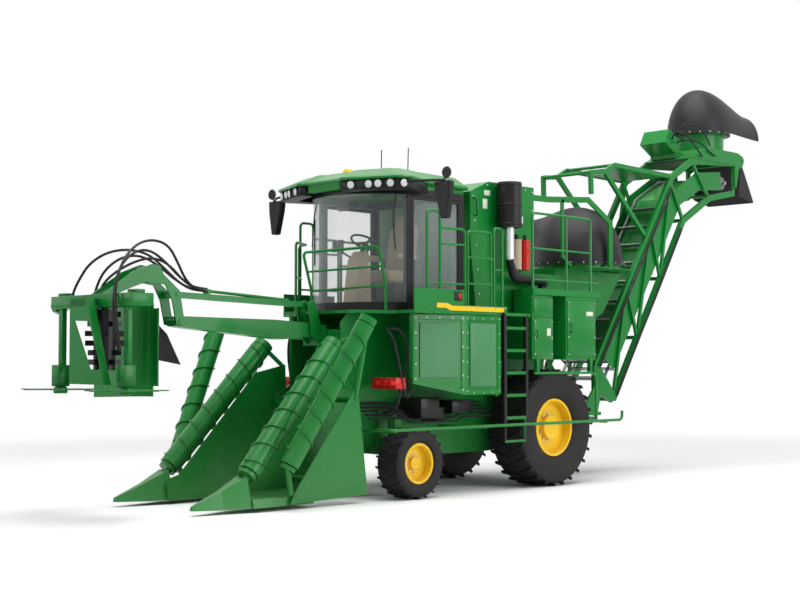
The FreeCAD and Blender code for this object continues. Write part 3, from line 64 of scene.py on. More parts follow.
# %% Places to measure from
tyre_low, tyre_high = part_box("rear_tyre_left")
axle_x = (tyre_low.x + tyre_high.x) / 2
print("rear axle stands at x =", round(axle_x, 3))


def spot(x, y, z):
    """A point given from the rear axle, as a point of the scene."""
    return Vector((x + axle_x, y, z))


# %% [markdown]
# The camera stands at a walker's eye height in front of the left corner, with a long
# lens, so that the machine's fourteen metres don't stretch.

# %% Camera
eye_place = spot(15.286, 13.199, 1.6785)
eye_turn, eye_lift = math.radians(44.48), math.radians(2.575)
film_width, lens_length, farthest = 36, 63.25, 300

camera_data = bpy.data.cameras.new("studio_camera")
camera_data.sensor_width = film_width
camera_data.lens = lens_length
camera_data.clip_end = farthest
camera = bpy.data.objects.new("studio_camera", camera_data)
bpy.context.scene.collection.objects.link(camera)
camera.location = eye_place
look = Vector((-math.cos(eye_turn) * math.cos(eye_lift), -math.sin(eye_turn) * math.cos(eye_lift),
               math.sin(eye_lift)))
camera.rotation_mode = "QUATERNION"
camera.rotation_quaternion = look.to_track_quat("-Z", "Y")
bpy.context.scene.camera = camera
print("camera stands", round((eye_place - spot(0, 0, 0)).length, 2), "m from the rear axle")

# %% [markdown]
# Shader maths reads best as sums. Wire wraps a socket, so that `noise * 0.3 + 0.1`
# adds the Math nodes by itself. The reflected forms let a plain number stand first.

# %% Wires that add up
class Wire:
    """A socket that can be added, multiplied and compared like a number."""

    def __init__(self, tree, socket):
        self.tree = tree
        self.socket = socket

    def math(self, operation, *values, clamp=False):
        node = self.tree.nodes.new("ShaderNodeMath")
        node.operation = operation
        node.use_clamp = clamp
        for place, value in zip(node.inputs, values):
            plug(self.tree, place, value)
        return Wire(self.tree, node.outputs[0])

    def __add__(self, other):
        return self.math("ADD", self, other)

    def __radd__(self, other):
        return self.math("ADD", other, self)

    def __sub__(self, other):
        return self.math("SUBTRACT", self, other)

    def __rsub__(self, other):
        return self.math("SUBTRACT", other, self)

    def __mul__(self, other):
        return self.math("MULTIPLY", self, other)

    def __rmul__(self, other):
        return self.math("MULTIPLY", other, self)

    def __truediv__(self, other):
        return self.math("DIVIDE", self, other)

    def __pow__(self, other):
        return self.math("POWER", self, other)

    def __gt__(self, other):
        return self.math("GREATER_THAN", self, other)

    def __lt__(self, other):
        return self.math("LESS_THAN", self, other)


def plug(tree, place, value):
    """Link a wire to a socket, or write a plain value on it."""
    if isinstance(value, Wire):
        tree.links.new(value.socket, place)
    elif isinstance(value, (tuple, list)) and len(value) == 3 and place.type == "RGBA":
        place.default_value = (*value, 1.0)
    else:
        place.default_value = value


# %% [markdown]
# Finish holds one material. A single method adds any other node from its type, its
# settings and the values or wires of its sockets, and a few short ones stand for the
# nodes that come back in every recipe.

# %% One class for every material
class Finish:
    """One material: its shader, its coordinates, and a method for any other node."""

    def __init__(self, name, **sockets):
        self.material = bpy.data.materials.new(name)
        self.material.use_nodes = True
        self.tree = self.material.node_tree
        self.shader = self.tree.nodes["Principled BSDF"]
        self.set(**sockets)

    def node(self, kind, settings=None, output=0, **inputs):
        """Add a node. A socket is named as on the node, or i and its number."""
        node = self.tree.nodes.new("ShaderNode" + kind)
        for key, value in (settings or {}).items():
            setattr(node, key, value)
        for key, value in inputs.items():
            numbered = key[0] == "i" and key[1:].isdigit()
            plug(self.tree, node.inputs[int(key[1:]) if numbered else key.replace("_", " ")], value)
        return Wire(self.tree, node.outputs[output])

    def set(self, **sockets):
        """Give the shader its values or links, named as on the node."""
        for key, value in sockets.items():
            plug(self.tree, self.shader.inputs[key.replace("_", " ")], value)
        return self

    def place(self):
        """Object coordinates, which never slide on a piece."""
        return self.node("TexCoord", output=3)

    def facing(self):
        """The way the surface looks."""
        return self.node("TexCoord", output=1)

    def split(self, vector):
        """The three parts of a vector, one wire each."""
        node = self.tree.nodes.new("ShaderNodeSeparateXYZ")
        plug(self.tree, node.inputs[0], vector)
        return [Wire(self.tree, out) for out in node.outputs]

    def noise(self, scale, detail=3.0):
        """A soft noise between 0 and 1."""
        return self.node("TexNoise", Vector=self.place(), Scale=scale, Detail=detail)

    def mix(self, share, first, second):
        """Blend two colours by a share."""
        return self.node("Mix", {"data_type": "RGBA"}, output=2, i0=share, i6=first, i7=second)

    def bump(self, height, strength, distance):
        """Feed a height to the shader's normal."""
        dents = self.node("Bump", Strength=strength, Distance=distance, Height=height)
        return self.set(Normal=dents)


def shaded(colour, share):
    """A colour made darker or paler by a share."""
    return tuple(value * share for value in colour)


print("shader kit is ready")

# %% [markdown]
# ## Paint
# Farm machines wear thick enamel. It has a faint orange peel, a film of dust that
# settles on what faces up, and a little more of it near the ground. The same recipe
# serves every colour, and only its numbers change.

# %% Paint recipe
dust_colour = (0.46, 0.40, 0.30)
dust_line, ground_line = 1.6, 0.1


def enamel(name, colour, gloss=0.22, peel=0.05, dusty=0.10):
    """Enamel paint with peel, a colour that drifts a little, and settled dust."""
    finish = Finish(name, Specular_IOR_Level=0.22, Coat_Roughness=0.1, Coat_Weight=0.12)
    drift = finish.noise(0.9, 2.0)
    grain = finish.noise(7.0, 5.0)
    body = finish.mix(drift, shaded(colour, 0.82), colour)
    height = finish.split(finish.place())[2]
    low = finish.node("MapRange", Value=height, From_Min=dust_line, From_Max=ground_line)
    skyward = finish.split(finish.facing())[2]
    flat = finish.node("MapRange", Value=skyward, From_Min=0.55, From_Max=0.95)
    film = (flat * 0.6 + low * 0.5) * grain * dusty * 2
    finish.set(Base_Color=finish.mix(film, body, dust_colour))
    finish.set(Roughness=film * 0.8 + grain * 0.08 + gloss)
    finish.bump(finish.noise(220.0, 1.0) + finish.noise(3.0, 1.0) * 2, peel, 0.002)
    return finish.material


green = enamel("green_enamel", (0.005, 0.195, 0.028))
yellow = enamel("yellow_enamel", (0.90, 0.56, 0.010), gloss=0.28)
black_paint = enamel("black_enamel", (0.008, 0.008, 0.009), gloss=0.35, dusty=0.05)
red_paint = enamel("red_enamel", (0.58, 0.012, 0.010), gloss=0.25, dusty=0.03)
print("enamels:", green.name, yellow.name, black_paint.name, red_paint.name)

# %% [markdown]
# Hoods and flaps are rotomoulded plastic or thick rubber sheet: dark, with a fine
# grain and a broad, dull shine. A cloud of paler colour keeps the big hood from
# looking like a flat shadow.

# %% Moulded plastics and rubbers
def moulded(name, colour, gloss, grain_size=260.0, peel=0.25):
    """Grained plastic or rubber."""
    finish = Finish(name, Specular_IOR_Level=0.22)
    cloud = finish.noise(1.4, 4.0)
    pale = tuple(value * 1.35 + 0.004 for value in colour)
    finish.set(Base_Color=finish.mix(cloud, colour, pale))
    finish.set(Roughness=cloud * 0.12 + gloss)
    finish.bump(finish.noise(grain_size, 2.0), peel, 0.0012)
    return finish.material


charcoal = moulded("charcoal_shell", (0.012, 0.0115, 0.013), 0.42)
black_rubber = moulded("black_rubber", (0.008, 0.008, 0.008), 0.5)
black_plastic = moulded("black_plastic", (0.007, 0.007, 0.008), 0.33)
tan_plastic = moulded("tan_plastic", (0.42, 0.34, 0.245), 0.5)
print("moulded finishes:", charcoal.name, black_rubber.name, black_plastic.name, tan_plastic.name)

# %% [markdown]
# Bare metal is told from paint by its colour in the shine. A noise that is stretched
# along Z draws the brushing.

# %% Bare metals
def metal(name, colour, gloss):
    """Brushed or turned metal."""
    finish = Finish(name, Metallic=1.0)
    stretch = finish.node("Mapping", Vector=finish.place(), Scale=(3.0, 3.0, 160.0))
    lines = finish.node("TexNoise", Vector=stretch, Scale=2.0, Detail=4.0)
    cloud = finish.noise(5.0, 3.0)
    finish.set(Base_Color=finish.mix(cloud, shaded(colour, 0.75), colour))
    finish.set(Roughness=lines * 0.12 + cloud * 0.1 + gloss)
    finish.bump(lines, 0.12, 0.0008)
    return finish.material


steel = metal("worn_steel", (0.50, 0.50, 0.51), 0.28)
bright_pipe = metal("bright_pipe", (0.80, 0.80, 0.81), 0.2)
iron = metal("cast_iron", (0.16, 0.165, 0.17), 0.45)
print("metals:", steel.name, bright_pipe.name, iron.name)

# %% [markdown]
# A tyre is matt black, greyer where dust sits. Rings on its wall are drawn from the
# distance to its own axle, so each tyre gets its own copy of the finish. They are too
# fine to be worth a shape of their own.

# %% Tyre rubber
def tyre_rubber(name, centre, inner, outer):
    """Rubber with moulded rings round a wheel's centre."""
    finish = Finish(name, Specular_IOR_Level=0.2)
    x, y, z = finish.split(finish.place())
    ahead, above = x - centre.x, z - centre.z
    share = ((ahead * ahead + above * above) ** 0.5 - inner) / (outer - inner)
    waves = share.math("SINE", share * 24.0)
    on_the_wall = (share > 0.12) * (share < 0.62)
    cloud = finish.noise(2.2, 4.0)
    rubber = finish.mix(cloud, (0.009, 0.009, 0.0095), (0.022, 0.021, 0.020))
    finish.set(Base_Color=rubber, Roughness=cloud * 0.1 + 0.56)
    finish.bump(finish.noise(90.0, 3.0) * 0.4 + waves * on_the_wall * 0.5, 0.35, 0.004)
    return finish.material


tyre_finish = {}
for tyre_node in ("rear_tyre_left", "rear_tyre_right", "front_tyre_left", "front_tyre_right"):
    corner_low, corner_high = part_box(tyre_node)
    radius = (corner_high.z - corner_low.z) / 2
    tyre_finish[tyre_node] = tyre_rubber(tyre_node + "_rubber", (corner_low + corner_high) / 2,
                                         radius * 0.5, radius)
print("tyre finishes:", len(tyre_finish))

# %% [markdown]
# Cab glass is faintly green. Real transmission would bend and darken what is behind
# it, so the pane is thin colour with a low alpha, a little denser at a slant and where
# the glass is smeared.

# %% Glass
def window_glass(name, tint, density):
    """Thin glass: see-through, and denser at a slant."""
    finish = Finish(name, Roughness=0.02, Metallic=0.0, Specular_IOR_Level=0.6,
                    Transmission_Weight=0.0)
    smear = finish.noise(1.6, 2.0)
    edge = finish.node("LayerWeight", output=1, Blend=0.35)
    finish.set(Base_Color=finish.mix(smear, tint, shaded(tint, 0.94)))
    finish.set(Alpha=edge * 0.35 + smear * 0.04 + density)
    return finish.material


clear_glass = window_glass("cab_glass", (0.62, 0.70, 0.70), 0.05)
print("glass:", clear_glass.name)

# %% [markdown]
# The seat is woven cloth in a warm beige. Two crossed waves give the weave, finer than
# the eye can count from a few metres.

# %% Cloth
def woven(name, colour, threads=60.0):
    """Cloth whose weave is two crossed waves."""
    finish = Finish(name, Roughness=0.9, Sheen_Weight=0.25)
    weft, warp = [finish.node("TexWave", {"bands_direction": way}, Vector=finish.place(),
                              Scale=threads) for way in ("Z", "Y")]
    finish.set(Base_Color=finish.mix(finish.noise(6.0, 4.0), colour, shaded(colour, 1.18)))
    finish.bump(weft * warp, 0.4, 0.002)
    return finish.material


seat_cloth = woven("seat_cloth", (0.40, 0.32, 0.22))
print("cloth:", seat_cloth.name)

# %% [markdown]
# ## Dressing the frame
# Every solid of the frame now gets one of these finishes. Sheet metal and castings are
# green, wheels yellow, the cab's posts black, and the hoods charcoal.

# %% Give every solid its finish
by_finish = {
    "black": (black_paint, ["cab_frame", "cab_door_left", "cab_door_right", "lamp_band",
                            "topper_drum"]),
    "green": (green, [
        "cab_roof", "cabinets", "chassis_frame", "decks", "divider_left", "divider_right",
        "elevator_frame", "engine_hood", "extractor_base", "final_drives", "front_legs",
        "gatherer_left", "gatherer_right", "handrails", "inner_scroll_left",
        "inner_scroll_right", "knockdown_roller", "knuckle_left", "knuckle_right", "ladder",
        "low_rails", "outer_scroll_left", "outer_scroll_right", "secondary_chamber",
        "side_door_left", "side_door_right", "slew_frame", "tanks", "topper_boom",
        "topper_head", "topper_link", "tow_tongue"]),
    "yellow": (yellow, ["front_rim_left", "front_rim_right", "rear_rim_left", "rear_rim_right"]),
    "charcoal": (charcoal, ["primary_hood", "secondary_hood", "bin_flap", "air_intake"]),
    "steel": (steel, ["base_cutter_left", "base_cutter_right", "elevator_chain", "primary_fan",
                      "secondary_fan"]),
    "iron": (iron, ["engine"]),
    "glass": (clear_glass, ["cab_glass"]),
    "cloth": (seat_cloth, ["seat"]),
    "console": (tan_plastic, ["steering_console"]),
    "mirror housings": (black_plastic, ["mirrors"]),
    "bottles": (red_paint, ["extinguishers"]),
}


def dress(node_name, material):
    """Put one material on a solid of the frame."""
    slots = nodes[node_name].data.materials
    slots.clear()
    slots.append(material)


for word, (material, names) in by_finish.items():
    for node_name in names:
        dress(node_name, material)
    print(word, "on", len(names), "solids")
for node_name, material in tyre_finish.items():
    dress(node_name, material)

# %% [markdown]
# Some solids wear two finishes: glass in a door's black frame, black stringers beside
# the ladder's green steps, a bright pipe between a black can and a rubber bend. Each
# face knows its own middle, and that decides its finish, with no seam to draw.

# %% Paint faces by their place
def paint(node_name, material, wanted):
    """Give the faces of a solid whose middle passes a test another finish."""
    mesh = nodes[node_name].data
    mesh.materials.append(material)
    number = len(mesh.materials) - 1
    hits = 0
    for face in mesh.polygons:
        middle = face.center
        if wanted(middle.x - axle_x, middle.y, middle.z):
            face.material_index = number
            hits += 1
    print(node_name, hits, "faces in", material.name)


def in_door_pane(x, y, z):
    """On either face of a cab door's pane."""
    return 0.7995 < abs(y) < 0.8085 and 1.60 < x < 2.44 and 2.51 < z < 3.76


bottle_shoulder, bottle_back, between_bottles = 3.36, 0.89, 0.47
for word in ("left", "right"):
    paint("cab_door_" + word, clear_glass, in_door_pane)
paint("ladder", black_paint, lambda x, y, z: x > 1.139 or x < 0.751)
paint("air_intake", black_plastic, lambda x, y, z: True)
paint("air_intake", bright_pipe, lambda x, y, z: 3.02 < z < 3.499 and x > 0.7)
paint("extinguishers", black_plastic, lambda x, y, z: z > bottle_shoulder or y < bottle_back)
paint("extinguishers", tan_plastic, lambda x, y, z: x > between_bottles
      and z < bottle_shoulder and y > bottle_back)

# %% [markdown]
# ## The bench
# Every small part starts as a primitive at its size and place, and is shaped by hand in
# edit mode. An operator acts on all that is selected, so the first tools leave only the
# wanted object, or the wanted faces of it, selected.

# %% Choosing what an operator acts on
def clear():
    """Leave edit mode with nothing selected."""
    if bpy.context.mode != "OBJECT":
        bpy.ops.object.mode_set(mode="OBJECT")
    bpy.ops.object.select_all(action="DESELECT")


def pick(*pieces):
    """Select these pieces alone, the first of them active."""
    clear()
    for piece in pieces:
        piece.select_set(True)
    bpy.context.view_layer.objects.active = pieces[0]


def edit(piece, kind="FACE", wanted=lambda part: True):
    """Open a piece in edit mode with only the wanted faces, edges or points selected."""
    pick(piece)
    bpy.ops.object.mode_set(mode="EDIT")
    bpy.ops.mesh.select_mode(type=kind)
    bpy.ops.mesh.select_all(action="DESELECT")
    mesh = bmesh.from_edit_mesh(piece.data)
    for part in {"FACE": mesh.faces, "EDGE": mesh.edges, "VERT": mesh.verts}[kind]:
        if wanted(part):
            part.select_set(True)
    bmesh.update_edit_mesh(piece.data)


def face_outwards():
    """In edit mode, turn every face of the piece outwards."""
    bpy.ops.mesh.select_all(action="SELECT")
    bpy.ops.mesh.normals_make_consistent(inside=False)


# %% [markdown]
# What repeats on a machine is made once. Each copy gets a mesh of its own, because two
# objects on one mesh change together. Mirroring turns a shape inside out, so the faces
# of a mirrored part are turned outwards again.

# %% Copying, joining and mirroring
def twin_of(piece):
    """A copy of a part with its own mesh."""
    twin = piece.copy()
    twin.data = piece.data.copy()
    bpy.context.scene.collection.objects.link(twin)
    return twin


def joined(pieces):
    """Join pieces into the first of them."""
    pick(*pieces)
    if len(pieces) > 1:
        bpy.ops.object.join()
    return pieces[0]


def fixed(piece):
    """Bring a part's place, turn and size into its mesh."""
    pick(piece)
    bpy.ops.object.transform_apply(location=True, rotation=True, scale=True)
    return piece


def placed(piece, place, turn=(0, 0, 0)):
    """Set a part down at a place, turned about its own origin."""
    piece.location, piece.rotation_euler = place, turn
    return fixed(piece)


def mirrored(piece):
    """The same part on the machine's other side."""
    twin = twin_of(piece)
    pick(twin)
    twin.matrix_world = Matrix.Diagonal((1, -1, 1, 1)) @ twin.matrix_world
    fixed(twin)
    edit(twin)
    face_outwards()
    clear()
    return twin


def both(piece):
    """A part joined with its mirror image."""
    return joined([piece, mirrored(piece)])


# %% [markdown]
# Flat bars and boxes are blocks with softened edges. Bosses, lenses and bolts are turned
# on a lathe, which here is a disc that is extruded and scaled step by step. Sheet parts
# are cut to an outline: a disc with as many corners, each moved to its place, is given
# the sheet's thickness.

# %% Blocks, turned parts and cut plates
def bar(low, high, soften=0.004):
    """A cuboid between two corners, its edges softened."""
    clear()
    low, high = Vector(low), Vector(high)
    bpy.ops.mesh.primitive_cube_add(size=1, location=(low + high) / 2, scale=high - low)
    bpy.ops.object.transform_apply(location=False, rotation=False, scale=True)
    piece = bpy.context.object
    edit(piece, "EDGE")
    bpy.ops.mesh.bevel(offset=soften, segments=2)
    clear()
    return piece


def turned(profile, sides=20):
    """A turned part through (height, radius) pairs up +Z."""
    clear()
    start, radius = profile[0]
    bpy.ops.mesh.primitive_circle_add(vertices=sides, radius=radius, fill_type="NGON",
                                      location=(0, 0, 0))
    piece = bpy.context.object
    edit(piece)
    bpy.ops.transform.translate(value=(0, 0, start))
    for (low, near), (high, far) in zip(profile, profile[1:]):
        bpy.ops.mesh.extrude_region_move(TRANSFORM_OT_translate={"value": (0, 0, high - low)})
        share = far / near
        bpy.ops.transform.resize(value=(share, share, 1), center_override=(0, 0, high))
    face_outwards()
    clear()
    return piece


def plate(outline, way, low, high, soften=0.002, top=None):
    """A plate cut to an outline, from low to high along an axis.

    Another outline for the top makes it taper.
    """
    clear()
    bpy.ops.mesh.primitive_circle_add(vertices=len(outline), radius=1, fill_type="NGON")
    piece = bpy.context.object
    put = {"x": lambda a, b, c: (c, a, b), "y": lambda a, b, c: (a, c, b),
           "z": lambda a, b, c: (a, b, c)}[way]
    for corner, (first, second) in zip(piece.data.vertices, outline):
        corner.co = put(first, second, low)
    edit(piece)
    bpy.ops.mesh.extrude_region_move(TRANSFORM_OT_translate={"value": put(0, 0, high - low)})
    if top:
        mesh = bmesh.from_edit_mesh(piece.data)
        above = [Vector(put(*point, high)) for point in outline]
        for corner in [corner for corner in mesh.verts if corner.select]:
            number = min(range(len(above)), key=lambda i: (corner.co - above[i]).length)
            corner.co = put(*top[number], high)
        bmesh.update_edit_mesh(piece.data)
    face_outwards()
    if soften:
        bpy.ops.mesh.bevel(offset=soften, segments=1)
    clear()
    return piece


# %% [markdown]
# Hoses sag in smooth curves, so a few points pull a curve into shape. Rails are tube
# bent cold, straight between the bender's arcs, so a drawn line has its corners rounded.
# Both get their thickness from the curve's own round section, and become a mesh.

# %% Hoses and rails
def hose(points, thick):
    """A bent tube on a smooth curve."""
    clear()
    curve = bpy.data.curves.new("line", "CURVE")
    curve.dimensions = "3D"
    curve.bevel_depth = thick / 2
    curve.bevel_resolution = 2
    curve.use_fill_caps = True
    curve.resolution_u = 8
    line = curve.splines.new("NURBS")
    line.points.add(len(points) - 1)
    for place, point in zip(line.points, points):
        place.co = (*point, 1)
    line.order_u = 3
    line.use_endpoint_u = True
    piece = bpy.data.objects.new("line", curve)
    bpy.context.scene.collection.objects.link(piece)
    pick(piece)
    bpy.ops.object.convert(target="MESH")
    return bpy.context.object


def rail(points, radius, bend=0.06):
    """A round bar through corner points, each rounded by the bend."""
    clear()
    mesh = bpy.data.meshes.new("line")
    steps = [(number, number + 1) for number in range(len(points) - 1)]
    mesh.from_pydata([tuple(point) for point in points], steps, [])
    piece = bpy.data.objects.new("line", mesh)
    bpy.context.scene.collection.objects.link(piece)
    if len(points) > 2:
        edit(piece, "VERT", lambda point: len(point.link_edges) == 2)
        bpy.ops.mesh.bevel(offset=bend, segments=5, affect="VERTICES")
    pick(piece)
    bpy.ops.object.convert(target="CURVE")
    curve = bpy.context.object.data
    curve.bevel_depth = radius
    curve.bevel_resolution = 2
    curve.use_fill_caps = True
    bpy.ops.object.convert(target="MESH")
    return bpy.context.object


# %% [markdown]
# A finished part is handed to the body that carries it, so that it swings with its
# joint. Its place goes into its mesh first, and only edges sharper than an angle stay
# crisp.

# %% Handing over
def settle(piece, name, material, body=None, smooth=35):
    """Fix a part's place, give it its finish, and let it ride."""
    piece.location.x += axle_x
    fixed(piece)
    bpy.ops.object.shade_smooth_by_angle(angle=math.radians(smooth))
    piece.name = name
    piece.data.name = name
    piece.data.materials.clear()
    piece.data.materials.append(material)
    if body:
        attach(piece, body)
    print(name, "has", len(piece.data.polygons), "faces")
    return piece


flanks = {"left": 1, "right": -1}
print("the bench is ready")

# %% [markdown]
# ## Tyres
# A driven tyre pushes with slanted lugs: two rows that meet in the middle of the tread.
# The carcass has one section all the way round, so it is spun about the axle. One lug is
# drawn, softened, and set round the tread by turning copies of it.

# %% Spinning and ringing about an axle
def spun(section, centre, steps=64):
    """A ring about a Y axis from a closed section of (y, radius) points."""
    clear()
    bpy.ops.mesh.primitive_circle_add(vertices=len(section), radius=1, fill_type="NOTHING")
    piece = bpy.context.object
    for corner, (across, reach) in zip(piece.data.vertices, section):
        corner.co = (centre[0], centre[1] + across, centre[2] + reach)
    edit(piece, "EDGE")
    bpy.ops.mesh.spin(steps=steps, angle=math.tau, center=centre, axis=(0, 1, 0))
    bpy.ops.mesh.select_all(action="SELECT")
    bpy.ops.mesh.remove_doubles(threshold=0.0005)
    face_outwards()
    clear()
    return piece


def swung(centre, angle):
    """A turn by an angle about the Y axis through a centre."""
    middle = Matrix.Translation(Vector(centre))
    return middle @ Matrix.Rotation(angle, 4, "Y") @ middle.inverted()


def ringed(master, centre, count):
    """Copies of a part set evenly round a Y axis, and joined."""
    twins = []
    for number in range(count):
        twin = twin_of(master)
        twin.matrix_world = swung(centre, math.tau * number / count) @ master.matrix_world
        twins.append(twin)
    bpy.data.objects.remove(master)
    return joined(twins)


# %% [markdown]
# A lug is a slanted plate whose root is sunk a little into the carcass, so that no gap
# shows. Its top is low enough for its far corners to stay within the tyre's radius. The
# second row starts half a step round, as on a real tractor tyre.

# %% Tyres with lugs
lug_root = 0.012


def lug(centre, radius, half, depth, side):
    """One slanted lug of a row, on top of the wheel."""
    thick, slant = 0.050 * radius, 0.075 * radius
    near, far = half * 0.03 * side, half * 0.97 * side
    outline = [(-thick / 2 - slant, far), (thick / 2 - slant, far), (thick / 2 + slant, near),
               (slant - thick / 2, near)]
    top = math.sqrt(radius ** 2 - (thick / 2 + slant) ** 2)
    return placed(plate(outline, "z", radius - depth - lug_root, top, 0.004), centre)


def tyre(centre, radius, width, bead, lugs, depth):
    """A tyre: its carcass spun round the axle, and two rows of lugs."""
    half, tread = width / 2, radius - depth
    wall = [(0.75, bead), (0.75, bead + 0.022), (0.90, bead + 0.2 * (tread - bead)),
            (0.97, bead + 0.45 * (tread - bead)), (0.985, bead + 0.7 * (tread - bead)),
            (0.95, tread - 0.035), (0.86, tread - 0.008), (0.5, tread)]
    section = [(half * share, reach) for share, reach in wall]
    section += [(-across, reach) for across, reach in reversed(section)]
    carcass = spun(section, centre)
    left_row, right_row = [ringed(lug(centre, radius, half, depth, side), centre, lugs)
                           for side in (1, -1)]
    right_row.matrix_world = swung(centre, math.pi / lugs) @ right_row.matrix_world
    return joined([carcass, left_row, fixed(right_row)])


# The hub's x, how far out and how high it is, then the radius, the width, the bead's
# radius, the lugs in a row and their depth.
wheels = {"rear": (0, 0.92, 0.80, 0.80, 0.60, 0.375, 26, 0.030),
          "front": (2.68, 1.00, 0.44, 0.44, 0.38, 0.235, 20, 0.018)}
for word, side in flanks.items():
    for place, (x, out, up, *shape) in wheels.items():
        ring = settle(tyre((x, side * out, up), *shape), place + "_lugged_tyre_" + word,
                      tyre_finish[place + "_tyre_" + word], place + "_wheel_" + word)
        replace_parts(ring, place + "_tyre_" + word)

# %% [markdown]
# ## Handrails
# Rails keep the driver safe on the decks. A leaning basket stands on the nose, a row of
# gates runs down each side, and a tube hoop and a flat hoop arch over the big hood.
# Every corner has the bender's radius, so each run is a line with rounded corners.

# %% Basket on the nose
deck, walk = 2.34, 2.69
thick_tube, thin_tube = 0.018, 0.014
basket = [(3.24, -0.22, deck), (3.24, -0.22, 2.60), (3.38, -0.23, 3.09), (3.08, 0.84, 3.125),
          (2.95, 0.835, 2.65), (2.95, 0.835, deck)]
far_corner = [(2.99, -0.81, deck), (2.99, -0.81, 3.28), (2.60, -1.03, 3.28), (2.60, -1.19, 3.28),
              (2.60, -1.19, deck)]
bars = [rail(basket, thick_tube), rail([basket[1], basket[4]], thin_tube),
        rail([(3.31, -0.225, 2.845), (3.015, 0.838, 2.885)], thin_tube),
        rail(far_corner, thick_tube), rail([(2.99, -0.81, 2.82), (2.60, -1.14, 2.82)], thin_tube)]
print("the basket has", len(bars), "bars")

# %% [markdown]
# Each side's gates lie in one upright plane, so a run is given as (x, z) points with
# its distance out, and is mirrored. Posts and top rails are thick tube, and the rails
# between them thin.

# %% Gates along the sides
deck_out, walk_out = 1.19, 1.225
side_runs = [
    (deck_out, thick_tube, [(2.34, deck), (2.34, 3.595), (2.577, 3.595), (2.577, 2.59)]),
    (deck_out, thick_tube, [(2.34, 3.39), (1.866, 3.39), (1.866, deck)]),
    (deck_out, thin_tube, [(2.577, 2.68), (2.34, 2.68)]),
    (deck_out, thin_tube, [(2.34, 3.19), (1.866, 3.19)]),
    (deck_out, thin_tube, [(2.34, 2.685), (1.866, 2.685)]),
    (deck_out, thick_tube, [(1.815, deck), (1.815, 3.38), (1.356, 3.38), (1.356, deck)]),
    (deck_out, thin_tube, [(1.815, 2.70), (1.356, 2.70)]),
    (deck_out, thin_tube, [(1.815, 3.04), (1.356, 3.04)]),
    (deck_out, thick_tube, [(1.30, deck), (1.30, 3.45), (1.134, 3.45), (1.134, deck)]),
    (deck_out, thin_tube, [(1.30, 2.90), (1.134, 2.90)]),
    (deck_out, thin_tube, [(1.356, 3.04), (1.30, 3.04)]),
    (walk_out, thick_tube, [(0.54, walk), (0.54, 3.71), (-0.75, 3.71), (-0.75, walk)]),
    (walk_out, 0.016, [(-0.20, walk), (-0.20, 3.71)]),
    (walk_out, thin_tube, [(0.54, 2.81), (-0.94, 2.81)]),
    (walk_out, thin_tube, [(0.54, 3.23), (-0.75, 3.23)]),
]
for out, radius, run in side_runs:
    bars.append(both(rail([(x, out, z) for x, z in run], radius)))
print("with the gates,", len(bars))

# %% [markdown]
# On the right of the hood a round tube bends over it. On the left it is a flat bar on
# edge with a prop under it, which a rounded line can't give, so both are cut plates.

# %% Hoops over the hood
bars.append(rail([(-0.96, -1.01, 3.07), (-0.96, -1.01, 4.06), (-1.50, -1.01, 4.11),
                  (-1.90, -1.01, 3.80), (-1.90, -1.01, 3.07)], 0.030, 0.12))
hoop = [(0.06, 3.96), (0.06, 4.04), (-0.42, 4.05), (-1.35, 4.12), (-1.93, 3.80), (-1.93, 3.07),
        (-1.83, 3.07), (-1.83, 3.76), (-1.33, 4.035), (-0.42, 3.965)]
prop = [(-0.69, 4.03), (-0.69, 3.20), (-0.90, 3.07), (-0.96, 3.07), (-0.75, 3.22), (-0.75, 4.04)]
for outline in (hoop, prop):
    bars.append(plate(outline, "y", 0.735, 0.765, 0.003))
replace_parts(settle(joined(bars), "bent_handrails", green, "chassis"), "handrails")

# %% [markdown]
# ## Cab roof, lamps and mirrors
# The roof is a moulding in steps: a neck that sits on the cab's header, a wide visor, and
# a sloped crown. Plates cut to an outline give the steps, and a smaller outline for the
# top of one draws the crown together. Under the visor hang two black lobes for the lamps.

# %% Roof moulding
def across(half_plan):
    """A plan outline with its mirror image across the middle."""
    return half_plan + [(x, -y) for x, y in reversed(half_plan)]


roof = 3.90
neck = across([(1.48, 0.82), (2.54, 0.82), (2.86, 0.64), (3.06, 0.33), (3.10, 0.12)])
visor = across([(1.42, 0.86), (2.30, 0.96), (2.86, 1.19), (3.04, 1.12), (3.33, 0.40),
                (3.25, 0.27)])
crown = across([(1.56, 0.74), (2.30, 0.80), (2.74, 0.88), (2.86, 0.82), (3.01, 0.33),
                (2.96, 0.22)])
brow = [(3.125, 0.33), (3.235, 0.30), (3.235, -0.30), (3.125, -0.33)]
roof_parts = [plate(neck, "z", roof, roof + 0.068, 0.004),
              plate(visor, "z", roof + 0.066, roof + 0.102, 0.010),
              plate(visor, "z", roof + 0.100, roof + 0.230, 0.012, top=crown),
              plate(brow, "z", roof - 0.03, roof + 0.07, 0.006)]
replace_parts(settle(joined(roof_parts), "roof_moulding", green, "chassis", 25), "cab_roof")

# %% [markdown]
# A lobe is one black moulding that follows the visor's slanted front edge. The aerials
# that stand on the roof are as black as it is, so they join the same piece.

